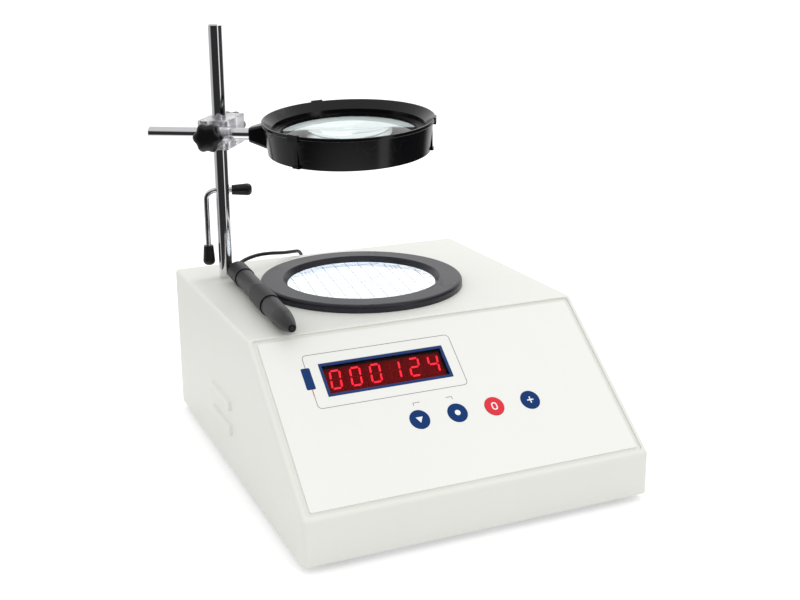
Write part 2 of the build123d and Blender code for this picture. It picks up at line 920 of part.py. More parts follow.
def knob_head():
    """Six-lobed head with a domed face and a round neck, its neck's end at z=0."""
    ring = knob_radius - knob_lobe_radius
    core = Circle(ring + knob_lobe_radius * 0.35)
    lobes = [Rot(0, 0, 360 * i / knob_lobes) * Pos(ring, 0) * Circle(knob_lobe_radius) for i in range(knob_lobes)]
    outline = core
    for lobe in lobes:
        outline += lobe
    outline = fillet(outline.vertices(), 1.4)
    head = Pos(0, 0, knob_neck_length) * extrude(outline, amount=knob_head_thickness)
    top = knob_neck_length + knob_head_thickness
    dome = Pos(0, 0, top - knob_dome_radius) * Sphere(knob_dome_radius)
    under = Pos(0, 0, knob_neck_length) * Cone(
        knob_neck_radius + 2.2, knob_neck_radius + 30, 28, align=(Align.CENTER, Align.CENTER, Align.MIN)
    )
    head = head & dome & under
    neck = rod(knob_neck_radius, knob_neck_length + 2)
    return head + neck - rod(stud_radius, stud_in_knob)


def knob_frame(side):
    """The frame of a knob on the front (-1) or back (1) face, with z pointing out of the block."""
    face = block_front if side < 0 else block_back
    x = block_shift if side < 0 else 0
    turn = Rot(90, 0, 0) if side < 0 else Rot(-90, 0, 0)
    return Location(post_plane) * Pos(x, side * (face + knob_face_gap), 0) * turn


def stud(side):
    """A stud from inside the knob to just short of the sleeve that it bears on."""
    if side < 0:
        reach = block_front - axis_offset - rod_sleeve_outer
    else:
        reach = block_back - post_sleeve_outer
    inside = knob_face_gap + reach - stud_tip_gap
    bar = Pos(0, 0, -inside) * rod(stud_radius, inside + stud_in_knob)
    return knob_frame(side) * chamfer(bar.edges().sort_by(Axis.Z)[0], 0.5)


add("clamp_block", clamp_block())
add("post_sleeve", post_sleeve())
add("rod_sleeve", rod_sleeve())
add("rod_knob", knob_frame(-1) * knob_head())
add("rod_stud", stud(-1))
add("post_knob", knob_frame(1) * knob_head())
add("post_stud", stud(1))


# Cross rod, lens holder, lens and its ring
def cross_rod():
    bar = Pos(rod_left, 0, 0) * along_rod * rod(rod_radius, rod_right - rod_left)
    return tilt_frame * chamfer(bar.edges().filter_by(GeomType.CIRCLE), rod_chamfer)


def lens_socket():
    """The tapered arm of the holder, from a small square end out to the drum."""
    start = Plane(origin=(socket_start, 0, 0), x_dir=(0, 1, 0), z_dir=(1, 0, 0))
    length = lens_distance - drum_radius_bottom + 2 - socket_start
    end = Plane(origin=(socket_start + length, 0, 0), x_dir=(0, 1, 0), z_dir=(1, 0, 0))
    small = start * RectangleRounded(socket_small, socket_small, socket_corner)
    large = end * RectangleRounded(socket_wide, socket_tall, socket_corner)
    return tilt_frame * loft([small, large])


def lens_holder():
    lens_seat = lens_radius + lens_clearance
    lip_top = lens_edge_top + lens_clearance / 3 + lens_lip
    drum = turned(
        [
            (lens_seat, drum_bottom),
            (drum_radius_bottom, drum_bottom),
            (drum_radius_top, drum_top - rim_thickness),
            (rim_radius, drum_top - rim_thickness),
            (rim_radius, drum_top),
            (rim_radius - 1.2, drum_top),
            (bevel_inner_radius, drum_top - bevel_depth),
            (bevel_inner_radius - 0.6, lip_top),
            (lens_sight_radius, lip_top),
            (lens_sight_radius, lip_top - lens_lip),
            (lens_seat, lip_top - lens_lip),
        ]
    )
    rim = drum.edges().filter_by(GeomType.CIRCLE).filter_by(lambda e: abs(e.radius - rim_radius) < 0.01)
    drum = fillet(rim, 0.6)
    hooks = []
    for angle in hook_angles:
        strip_low = drum_bottom
        strip_height = drum_top - rim_thickness - strip_low
        strip = Pos(drum_radius_bottom - 1, 0, strip_low) * block(2 * hook_rise + 2, hook_width, strip_height)
        foot_pad = Pos(drum_radius_bottom - 1, 0, strip_low) * block(2 * hook_rise + 3.4, hook_width + 3, 1.6)
        tab = Pos(rim_radius - 1.6, 0, drum_top - 4.2) * block(4.4, hook_width + 6, 5.0)
        hooks.append(Rot(0, 0, angle) * (strip + foot_pad + tab))
    bore = Cylinder(lens_seat + 1, 100)
    upper_bore = Pos(0, 0, drum_top - bevel_depth) * Cone(
        bevel_inner_radius,
        bevel_inner_radius + (rim_radius - 1.2 - bevel_inner_radius) * 4,
        bevel_depth * 4,
        align=(Align.CENTER, Align.CENTER, Align.MIN),
    )
    for hook in hooks:
        drum += hook - bore - upper_bore
    holder = lens_frame * drum + lens_socket()
    holder -= lens_frame * (
        Pos(0, 0, drum_bottom - 1) * rod(lens_seat, lip_top - lens_lip - drum_bottom + 1)
    )
    holder -= tilt_frame * Pos(socket_start - 5, 0, 0) * along_rod * rod(
        rod_radius, rod_right - socket_start + 5
    )
    return holder


def lens():
    """A biconvex lens: a flat flange that is clamped, and two spherical caps inside it."""
    edge_bottom = lens_edge_top - lens_edge_thickness
    dome = lens_sight_radius - lens_clearance
    drop = lens_face_radius - (lens_face_radius**2 - dome**2) ** 0.5
    body = Pos(0, 0, edge_bottom - drop) * rod(dome, lens_edge_thickness + 2 * drop)
    upper = Pos(0, 0, lens_edge_top + drop - lens_face_radius) * Sphere(lens_face_radius)
    lower = Pos(0, 0, edge_bottom - drop + lens_face_radius) * Sphere(lens_face_radius)
    flange = Pos(0, 0, edge_bottom) * rod(lens_radius, lens_edge_thickness)
    return lens_frame * ((body & upper & lower) + flange)


def lens_retainer():
    top = lens_edge_top - lens_edge_thickness - lens_clearance / 3
    ring = ring_solid(lens_radius + lens_clearance - 0.1, retainer_ring_inner, retainer_ring_height)
    return lens_frame * Pos(0, 0, top - retainer_ring_height) * ring


add("cross_rod", cross_rod())
add("lens_holder", lens_holder())
add("lens", lens())
add("lens_retainer", lens_retainer())


# Hanger: a bent rod through the post with a cap on each end
hanger_drop = hanger_rise - hanger_low_gap


def hanger_rod():
    right = hanger_right - cap_wall_end
    path = FilletPolyline(
        (right, 0, 0),
        (-hanger_left, 0, 0),
        (-hanger_left, 0, -(hanger_drop - cap_wall_end)),
        radius=hanger_bend_radius,
    )
    section = Plane(origin=(right, 0, 0), x_dir=(0, 1, 0), z_dir=(-1, 0, 0)) * Circle(hanger_rod_radius)
    return hanger_frame * sweep(section, path)


def hanger_cap():
    """A tapered rubber cap with a rounded end at z=0 and its mouth at the top."""
    body = turned(
        [(0, 0), (cap_radius_large, 0), (cap_radius_large, 4.0), (cap_radius_small, cap_length), (0, cap_length)]
    )
    body = fillet(body.edges().sort_by(Axis.Z)[0], 3.4)
    return body - Pos(0, 0, cap_wall_end) * rod(hanger_rod_radius, cap_length)


add("hanger_rod", hanger_rod())
add("hanger_low_cap", hanger_frame * Pos(-hanger_left, 0, -hanger_drop) * hanger_cap())
add("hanger_side_cap", hanger_frame * Pos(hanger_right, 0, 0) * Rot(0, -90, 0) * hanger_cap())


# Marker pen: its frame has x along the pen from the rear end to the tip
def cover_point(x, back, height):
    return Vector(x, back_y - back, top_level + height)


def behind_point(x, behind, level):
    return Vector(x, back_y + behind, level)


pen_start = cover_point(*pen_rear)
pen_end = cover_point(*pen_front)
pen_length = (pen_end - pen_start).length
pen_heading = (pen_end - pen_start).normalized()
pen_side = Vector(0, 0, 1).cross(pen_heading).normalized()
pen_frame = Location(Plane(origin=pen_start, x_dir=-pen_side, z_dir=pen_heading))


def pen_part(points):
    return pen_frame * turned(points)


def pen_rear_cap():
    cap = turned([(0, 0), (pen_cap_radius, 0), (pen_cap_radius, pen_cap_length), (0, pen_cap_length)])
    cap = fillet(cap.edges().sort_by(Axis.Z)[0], pen_cap_round)
    return pen_frame * cap


def pen_barrel():
    start = pen_cap_length
    return pen_part(
        [
            (0, start),
            (pen_groove_radius, start),
            (pen_groove_radius, start + pen_groove),
            (pen_barrel_radius, start + pen_groove),
            (pen_barrel_radius, pen_collar_start),
            (0, pen_collar_start),
        ]
    )


def pen_collar():
    return pen_part(
        [
            (0, pen_collar_start),
            (pen_barrel_radius, pen_collar_start),
            (pen_collar_radius, pen_collar_start + 5),
            (pen_collar_radius, pen_collar_end),
            (0, pen_collar_end),
        ]
    )


def pen_nose():
    """The front barrel, with a curved taper to its mouth and a bore for the tip."""
    bore = pen_tip_radius + running_clearance
    recess_radius, recess_length = pen_mouth_recess
    mid = (pen_taper_start + pen_length) / 2
    mid_radius = (pen_nose_radius + pen_mouth_radius) / 2 + pen_nose_bulge
    body = Polyline(
        (pen_mouth_radius, 0, pen_length),
        (recess_radius, 0, pen_length),
        (recess_radius, 0, pen_length - recess_length),
        (bore, 0, pen_length - recess_length),
        (bore, 0, pen_collar_end),
        (pen_groove_radius, 0, pen_collar_end),
        (pen_groove_radius, 0, pen_collar_end + pen_groove),
        (pen_nose_radius, 0, pen_collar_end + pen_groove),
        (pen_nose_radius, 0, pen_taper_start),
    )
    taper = ThreePointArc(
        (pen_nose_radius, 0, pen_taper_start), (mid_radius, 0, mid), (pen_mouth_radius, 0, pen_length)
    )
    return pen_frame * revolve(make_face(body + taper), Axis.Z)


def pen_tip():
    length = 26.0
    bar = Pos(0, 0, pen_length + pen_tip_proud - length) * rod(pen_tip_radius, length)
    return pen_frame * chamfer(bar.edges().sort_by(Axis.Z)[-1], 0.6)


add("pen_rear_cap", pen_rear_cap())
add("pen_barrel", pen_barrel())
add("pen_collar", pen_collar())
add("pen_nose", pen_nose())
add("pen_tip", pen_tip())

# Pen cord: from the pen round the post and over the back edge, down to a coil on the table
lead_points = [
    pen_start,
    pen_start - pen_heading * 5.0,
    cover_point(-83.9, 39.9, 9.2),
    cover_point(-76.2, 32.5, 10.6),
    cover_point(-63.5, 25.5, 11.4),
    cover_point(-50.0, 19.5, 10.0),
    cover_point(-37.5, 12.0, 7.0),
    cover_point(-26.5, 3.8, 4.9),
    cover_point(-16.8, -4.8, 2.8),
    cover_point(-12.6, -9.6, -6.0),
    cover_point(-11.5, -12.5, -20.5),
    behind_point(-11.0, 15.0, 75.5),
    behind_point(-10.5, 18.0, 48.5),
    behind_point(-8.5, 22.5, 25.5),
    behind_point(-3.0, 29.0, 11.0),
    behind_point(5.5, 36.5, 3.6),
    behind_point(16.0, 44.0, 1.6),
]
tail_points = [
    behind_point(27.5, 69.0, 4.2),
    behind_point(14.0, 72.8, 2.8),
    behind_point(1.5, 69.3, 4.4),
    behind_point(-9.0, 62.0, 14.0),
    behind_point(-17.0, 56.0, 29.5),
    behind_point(socket_x, 46.5, socket_level),
    Vector(socket_x, rear_outer + 3.7 + plug_body_length + plug_boot_length, socket_level),
]


def cord_radii(points):
    """The largest arc at each corner: 0.45 of the shorter run over the tangent of half the turn."""
    radii = []
    for before, here, after in zip(points, points[1:], points[2:]):
        turn = radians((here - before).get_angle(after - here))
        radii.append(0.45 * min((here - before).length, (after - here).length) / tan(turn / 2))
    return radii


def cord_tube(points, label):
    radii = cord_radii(points)
    path = FilletPolyline(*points, radius=radii)
    start = Plane(origin=points[0], z_dir=(points[1] - points[0]))
    tube = sweep(start * Circle(cord_radius), path)
    expected = pi * cord_radius**2 * path.length
    print(label, "radii", [round(r, 1) for r in radii])
    print(label, "length", round(path.length, 1), "volume ratio", round(tube.volume / expected, 4))
    return tube


coil_ring = turned(
    [(coil_inner, 0), (coil_outer, 0), (coil_outer, coil_height), (coil_inner, coil_height)]
)
coil = Pos(coil_x, back_y + coil_behind, 0) * fillet(coil_ring.edges().filter_by(GeomType.CIRCLE), cord_radius * 0.9)
add("pen_cord_coil", coil)
add("pen_cord_lead", cord_tube(lead_points, "lead") - coil)
add("pen_cord_tail", cord_tube(tail_points, "tail") - coil)

# The origin goes to the middle of the base of everything that the cord doesn't carry
cord_nodes = ("pen_cord_lead", "pen_cord_coil", "pen_cord_tail", "pen_plug")
whole = Compound([shape for name, shape in nodes.items() if name not in cord_nodes]).bounding_box()
origin_shift = Vector(-(whole.min.X + whole.max.X) / 2, -(whole.min.Y + whole.max.Y) / 2, -whole.min.Z)

os.makedirs("parts", exist_ok=True)
for name, shape in nodes.items():
    export_step(Pos(*origin_shift) * shape, f"parts/{name}.step")
print("nodes", len(nodes), "shift", origin_shift, "size", whole.size)
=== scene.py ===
"""Colony counter: finishes, printed marks, lit digits, knobs, pen cord and stage around the fixed frame.

Lengths are in metres. A few helpers take millimetres in the housing's own layout and turn them into the
frame's metres: across from the middle, back from the housing's centre, and up from the table.
"""

import math

import bmesh
import bpy
import numpy as np
from mathutils import Matrix, Vector


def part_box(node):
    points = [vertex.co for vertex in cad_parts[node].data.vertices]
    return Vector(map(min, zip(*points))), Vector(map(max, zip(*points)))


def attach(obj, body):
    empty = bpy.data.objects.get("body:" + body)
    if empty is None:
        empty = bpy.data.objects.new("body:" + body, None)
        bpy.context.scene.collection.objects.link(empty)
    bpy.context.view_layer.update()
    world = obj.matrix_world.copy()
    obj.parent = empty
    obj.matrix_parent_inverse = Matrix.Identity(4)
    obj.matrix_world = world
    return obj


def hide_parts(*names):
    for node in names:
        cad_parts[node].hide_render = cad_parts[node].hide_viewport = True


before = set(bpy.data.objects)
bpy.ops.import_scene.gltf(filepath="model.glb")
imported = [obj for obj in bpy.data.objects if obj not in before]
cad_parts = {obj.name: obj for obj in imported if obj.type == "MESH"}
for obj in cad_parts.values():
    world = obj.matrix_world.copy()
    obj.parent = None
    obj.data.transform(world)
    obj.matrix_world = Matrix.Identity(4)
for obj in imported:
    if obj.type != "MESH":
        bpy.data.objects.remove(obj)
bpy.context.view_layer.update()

bl_info = {
    "name": "Colony counter",
    "version": (1, 0, 0),
    "blender": (4, 5, 0),
    "location": "3D View > Sidebar > Colony counter",
    "description": "Dresses the colony counter's frame with its finishes, prints, digits, knobs and cord",
    "category": "Object",
}

# Layout in millimetres, as the housing was set out
RING_MIDDLE = (-3.6, 49.0)
BROW_BACK = -45.0
TOP_LEVEL = 118.5
LIP_LEVEL = 35.0
FRONT_BACK = -150.0
SLOPE = math.atan2(TOP_LEVEL - LIP_LEVEL, BROW_BACK - FRONT_BACK)
OVERLAY_FACE = -0.2
DIGIT_FACE = -4.3
WINDOW_MIDDLE = (-36.8, 38.8)
KEY_PLACES = {"key_down": -27.0, "key_mark": 0.75, "key_clear": 28.5, "key_add": 56.25}
KEY_DOWN_SLOPE = 79.2
KEY_FACE = 0.05
DIGIT_PITCH = 14.4
DIGIT_OFFSET = (0.6, -1.2)
DIGIT_THICKNESS = 0.12

# The grid, in metres: its reach inside the glass's edge, how far it lies under the glass, and its ink
GRID_RADIUS = 0.0568
GRID_DROP = 0.00007
GRID_INK = 0.00003


def middle_of(node):
    """The middle of a node's box, in metres."""
    low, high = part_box(node)
    return (Vector(low) + Vector(high)) / 2


SHIFT = middle_of("grid_glass") - Vector((RING_MIDDLE[0], RING_MIDDLE[1], 0)) / 1000
SHIFT.z = 0


def place(x, y, z):
    """A point of the housing's layout in millimetres, as metres in the frame."""
    return np.array([x, y, z]) / 1000 + np.array(SHIFT)


def slope_axes():
    """Origin and the across, down and outward directions of the front slope."""
    across = np.array([1.0, 0.0, 0.0])
    down = np.array([0.0, -math.cos(SLOPE), -math.sin(SLOPE)])
    out = np.array([0.0, -math.sin(SLOPE), math.cos(SLOPE)])
    return place(0, BROW_BACK, TOP_LEVEL), across, down, out


def on_slope(flat, out_mm):
    """Turns rows of (across, down) in millimetres into points at out_mm above the slope."""
    origin, across, down, out = slope_axes()
    flat = np.asarray(flat, float) / 1000
    return origin + flat[:, :1] * across + flat[:, 1:2] * down + out_mm / 1000 * out


class CounterSizes(bpy.types.PropertyGroup):
    """Sizes that a user would change"""

    cord_diameter: bpy.props.FloatProperty(
        name="Cord diameter", description="Diameter of the pen's cord", default=0.003, unit="LENGTH"
    )
    grid_pitch: bpy.props.FloatProperty(
        name="Grid pitch",
        description="Distance between the main lines on the glass",
        default=0.01,
        unit="LENGTH",
    )
    grid_turn: bpy.props.FloatProperty(
        name="Grid turn",
        description="Turn of the grid's glass in its ring",
        default=math.radians(-8.7),
        subtype="ANGLE",
    )
    grid_line: bpy.props.FloatProperty(
        name="Grid line", description="Width of the grid's main lines", default=0.00048, unit="LENGTH"
    )
    print_line: bpy.props.FloatProperty(
        name="Printed line",
        description="Width of the lines printed on the panel",
        default=0.00042,
        unit="LENGTH",
    )
    print_thickness: bpy.props.FloatProperty(
        name="Ink thickness", description="How far a print stands out", default=0.00004, unit="LENGTH"
    )
    digit_height: bpy.props.FloatProperty(
        name="Digit height", description="Height of a lit digit", default=0.0135, unit="LENGTH"
    )
    digit_slant: bpy.props.FloatProperty(
        name="Digit slant", description="Lean of the digits", default=math.radians(8), subtype="ANGLE"
    )


class CounterColours(bpy.types.PropertyGroup):
    """Colours that a user would change"""

    housing: bpy.props.FloatVectorProperty(
        name="Housing", description="Powder coat of the housing", default=(0.80, 0.80, 0.755), subtype="COLOR"
    )
    panel: bpy.props.FloatVectorProperty(
        name="Panel", description="Film on the front slope", default=(0.86, 0.86, 0.825), subtype="COLOR"
    )
    blue: bpy.props.FloatVectorProperty(
        name="Blue", description="Blue keys, bezel and tag", default=(0.001, 0.036, 0.165), subtype="COLOR"
    )
    red: bpy.props.FloatVectorProperty(
        name="Red", description="Red key", default=(0.74, 0.03, 0.05), subtype="COLOR"
    )
    lit: bpy.props.FloatVectorProperty(
        name="Lit digit", description="Light of the digits", default=(1.0, 0.2, 0.34), subtype="COLOR"
    )
    ring: bpy.props.FloatVectorProperty(
        name="Ring", description="Plastic of the dish ring", default=(0.014, 0.013, 0.021), subtype="COLOR"
    )


def sizes():
    return bpy.context.scene.counter_sizes


def colours():
    return bpy.context.scene.counter_colours


# Node groups shared by the materials
def new_group(name, inputs, outputs):
    """An empty shader group with the named inputs (name, kind, default) and outputs (name, kind)."""
    group = bpy.data.node_groups.new(name, "ShaderNodeTree")
    for label, kind, default in inputs:
        socket = group.interface.new_socket(label, in_out="INPUT", socket_type=kind)
        socket.default_value = default
    for label, kind in outputs:
        group.interface.new_socket(label, in_out="OUTPUT", socket_type=kind)
    return group


def add_node(tree, kind, **values):
    """A node of that kind with the values set on it."""
    node = tree.nodes.new(kind)
    for key, value in values.items():
        setattr(node, key, value)
    return node


def calculate(tree, operation, first, second):
    """A Math node; each operand is a socket or a number."""
    node = add_node(tree, "ShaderNodeMath", operation=operation)
    for socket, value in zip(node.inputs, (first, second)):
        if isinstance(value, (int, float)):
            socket.default_value = value
        else:
            tree.links.new(value, socket)
    return node.outputs[0]


FLOAT = "NodeSocketFloat"
COLOUR = "NodeSocketColor"


def grain_group():
    """Fine moulded or sprayed grain, with slow drifts of shade and gloss."""
    group = bpy.data.node_groups.get("Surface grain")
    if group:
        return group
    group = new_group(
        "Surface grain",
        [
            ("Color", COLOUR, (0.5, 0.5, 0.5, 1)),
            ("Shade drift", FLOAT, 0.05),
            ("Scale", FLOAT, 800.0),
            ("Drift scale", FLOAT, 25.0),
            ("Roughness", FLOAT, 0.4),
            ("Roughness drift", FLOAT, 0.05),
        ],
        [("Color", COLOUR), ("Roughness", FLOAT), ("Height", FLOAT)],
    )
    given = add_node(group, "NodeGroupInput")
    result = add_node(group, "NodeGroupOutput")
    coords = add_node(group, "ShaderNodeTexCoord")
    fine = add_node(group, "ShaderNodeTexNoise")
    fine.inputs["Detail"].default_value = 3.0
    slow = add_node(group, "ShaderNodeTexNoise")
    slow.inputs["Detail"].default_value = 4.0
    for noise, scale in ((fine, "Scale"), (slow, "Drift scale")):
        group.links.new(coords.outputs["Object"], noise.inputs["Vector"])
        group.links.new(given.outputs[scale], noise.inputs["Scale"])
    centred = calculate(group, "SUBTRACT", slow.outputs["Fac"], 0.5)
    grainy = calculate(group, "SUBTRACT", fine.outputs["Fac"], 0.5)
    slow_part = calculate(group, "MULTIPLY", centred, 1.4)
    fine_part = calculate(group, "MULTIPLY", grainy, 0.6)
    both = calculate(group, "ADD", slow_part, fine_part)
    shade = calculate(group, "ADD", calculate(group, "MULTIPLY", both, given.outputs["Shade drift"]), 1.0)
    tint = add_node(group, "ShaderNodeHueSaturation")
    group.links.new(given.outputs["Color"], tint.inputs["Color"])
    group.links.new(shade, tint.inputs["Value"])
    rough = calculate(group, "MULTIPLY", both, given.outputs["Roughness drift"])
    rough = calculate(group, "ADD", rough, given.outputs["Roughness"])
    group.links.new(tint.outputs["Color"], result.inputs["Color"])
    group.links.new(rough, result.inputs["Roughness"])
    group.links.new(fine.outputs["Fac"], result.inputs["Height"])
    return group


def scuff_group():
    """Faint handling marks: thin streaks where noise crosses its middle value."""
    group = bpy.data.node_groups.get("Handling marks")
    if group:
        return group
    group = new_group(
        "Handling marks",
        [("Scale", FLOAT, 60.0), ("Width", FLOAT, 0.02), ("Patches", FLOAT, 20.0)],
        [("Mask", FLOAT)],
    )
    given = add_node(group, "NodeGroupInput")
    result = add_node(group, "NodeGroupOutput")
    coords = add_node(group, "ShaderNodeTexCoord")
    stretch = add_node(group, "ShaderNodeMapping")
    stretch.inputs["Scale"].default_value = (1.0, 0.35, 1.6)
    stretch.inputs["Rotation"].default_value = (0.4, 0.2, 0.9)
    group.links.new(coords.outputs["Object"], stretch.inputs["Vector"])
    lines = add_node(group, "ShaderNodeTexNoise")
    lines.inputs["Detail"].default_value = 1.0
    lines.inputs["Distortion"].default_value = 0.6
    group.links.new(stretch.outputs["Vector"], lines.inputs["Vector"])
    group.links.new(given.outputs["Scale"], lines.inputs["Scale"])
    away = calculate(group, "ABSOLUTE", calculate(group, "SUBTRACT", lines.outputs["Fac"], 0.5), 0.0)
    streak = add_node(group, "ShaderNodeMapRange")
    streak.inputs["To Min"].default_value = 1.0
    streak.inputs["To Max"].default_value = 0.0
    group.links.new(away, streak.inputs["Value"])
    group.links.new(given.outputs["Width"], streak.inputs["From Max"])
    patches = add_node(group, "ShaderNodeTexNoise")
    group.links.new(coords.outputs["Object"], patches.inputs["Vector"])
    group.links.new(given.outputs["Patches"], patches.inputs["Scale"])
    kept = add_node(group, "ShaderNodeMapRange")
    kept.inputs["From Min"].default_value = 0.5
    kept.inputs["From Max"].default_value = 0.68
    group.links.new(patches.outputs["Fac"], kept.inputs["Value"])
    mask = calculate(group, "MULTIPLY", streak.outputs["Result"], kept.outputs["Result"])
    group.links.new(mask, result.inputs["Mask"])
    return group


def use_group(tree, group, **values):
    """A group node with its inputs set by name, with _ for spaces."""
    node = add_node(tree, "ShaderNodeGroup", node_tree=group)
    for key, value in values.items():
        node.inputs[key.replace("_", " ")].default_value = value
    return node


def finish(
    name,
    colour,
    roughness,
    grain=800.0,
    height=0.00002,
    shade=0.05,
    drift=0.04,
    marks=0.0,
    **constants,
):
    """A material with grain on colour, gloss and surface, and handling marks where marks is over 0.

    constants sets the shader's own sockets by name, with _ for spaces."""
    made = bpy.data.materials.new(name)
    made.use_nodes = True
    tree = made.node_tree
    shader = tree.nodes["Principled BSDF"]
    for key, value in constants.items():
        shader.inputs[key.replace("_", " ")].default_value = value
    grained = use_group(
        tree,
        grain_group(),
        Color=(*colour, 1),
        Shade_drift=shade,
        Scale=grain,
        Roughness=roughness,
        Roughness_drift=drift,
    )
    colour_out, rough_out = grained.outputs["Color"], grained.outputs["Roughness"]
    if marks:
        marked = use_group(tree, scuff_group())
        strength = calculate(tree, "MULTIPLY", marked.outputs["Mask"], marks)
        rough_out = calculate(tree, "ADD", rough_out, strength)
    tree.links.new(colour_out, shader.inputs["Base Color"])
    tree.links.new(rough_out, shader.inputs["Roughness"])
    bump = add_node(tree, "ShaderNodeBump")
    bump.inputs["Strength"].default_value = 1.0
    bump.inputs["Distance"].default_value = height
    tree.links.new(grained.outputs["Height"], bump.inputs["Height"])
    tree.links.new(bump.outputs["Normal"], shader.inputs["Normal"])
    made.diffuse_color = (*colour, 1)
    return made


def glowing(name, colour, strength, side_colour=None, centre=None, reach=None):
    """A lit material; where side_colour is given, its light drifts to it over reach behind centre."""
    made = bpy.data.materials.new(name)
    made.use_nodes = True
    tree = made.node_tree
    shader = tree.nodes["Principled BSDF"]
    shader.inputs["Roughness"].default_value = 0.5
    shader.inputs["Emission Strength"].default_value = strength
    grained = use_group(tree, grain_group(), Color=(*colour, 1), Shade_drift=0.04, Scale=900.0)
    light = grained.outputs["Color"]
    if side_colour:
        coords = add_node(tree, "ShaderNodeTexCoord")
        moved = add_node(tree, "ShaderNodeMapping")
        moved.inputs["Location"].default_value = tuple(-a for a in centre)
        tree.links.new(coords.outputs["Object"], moved.inputs["Vector"])
        parts = add_node(tree, "ShaderNodeSeparateXYZ")
        tree.links.new(moved.outputs["Vector"], parts.inputs["Vector"])
        share = add_node(tree, "ShaderNodeMapRange")
        share.inputs["From Min"].default_value = 0.0
        share.inputs["From Max"].default_value = reach
        tree.links.new(parts.outputs["Y"], share.inputs["Value"])
        mixed = add_node(tree, "ShaderNodeMix", data_type="RGBA")
        tree.links.new(share.outputs["Result"], mixed.inputs["Factor"])
        tree.links.new(light, mixed.inputs["A"])
        mixed.inputs["B"].default_value = (*side_colour, 1)
        light = mixed.outputs["Result"]
    tree.links.new(light, shader.inputs["Emission Color"])
    shader.inputs["Base Color"].default_value = (*colour, 1)
    made.diffuse_color = (*colour, 1)
    return made


def clear(name, colour, roughness=0.02, index=1.49, drift=0.015, share=1.0):
    """Clear glass or plastic with a faint uneven polish; share is the part of light that goes through."""
    made = bpy.data.materials.new(name)
    made.use_nodes = True
    tree = made.node_tree
    shader = tree.nodes["Principled BSDF"]
    shader.inputs["Base Color"].default_value = (*colour, 1)
    shader.inputs["Transmission Weight"].default_value = share
    shader.inputs["IOR"].default_value = index
    grained = use_group(tree, grain_group(), Scale=300.0, Roughness=roughness, Roughness_drift=drift)
    tree.links.new(grained.outputs["Roughness"], shader.inputs["Roughness"])
    made.diffuse_color = (*colour, 0.4)
    return made


INK = {"grain": 3000, "height": 0.000004}


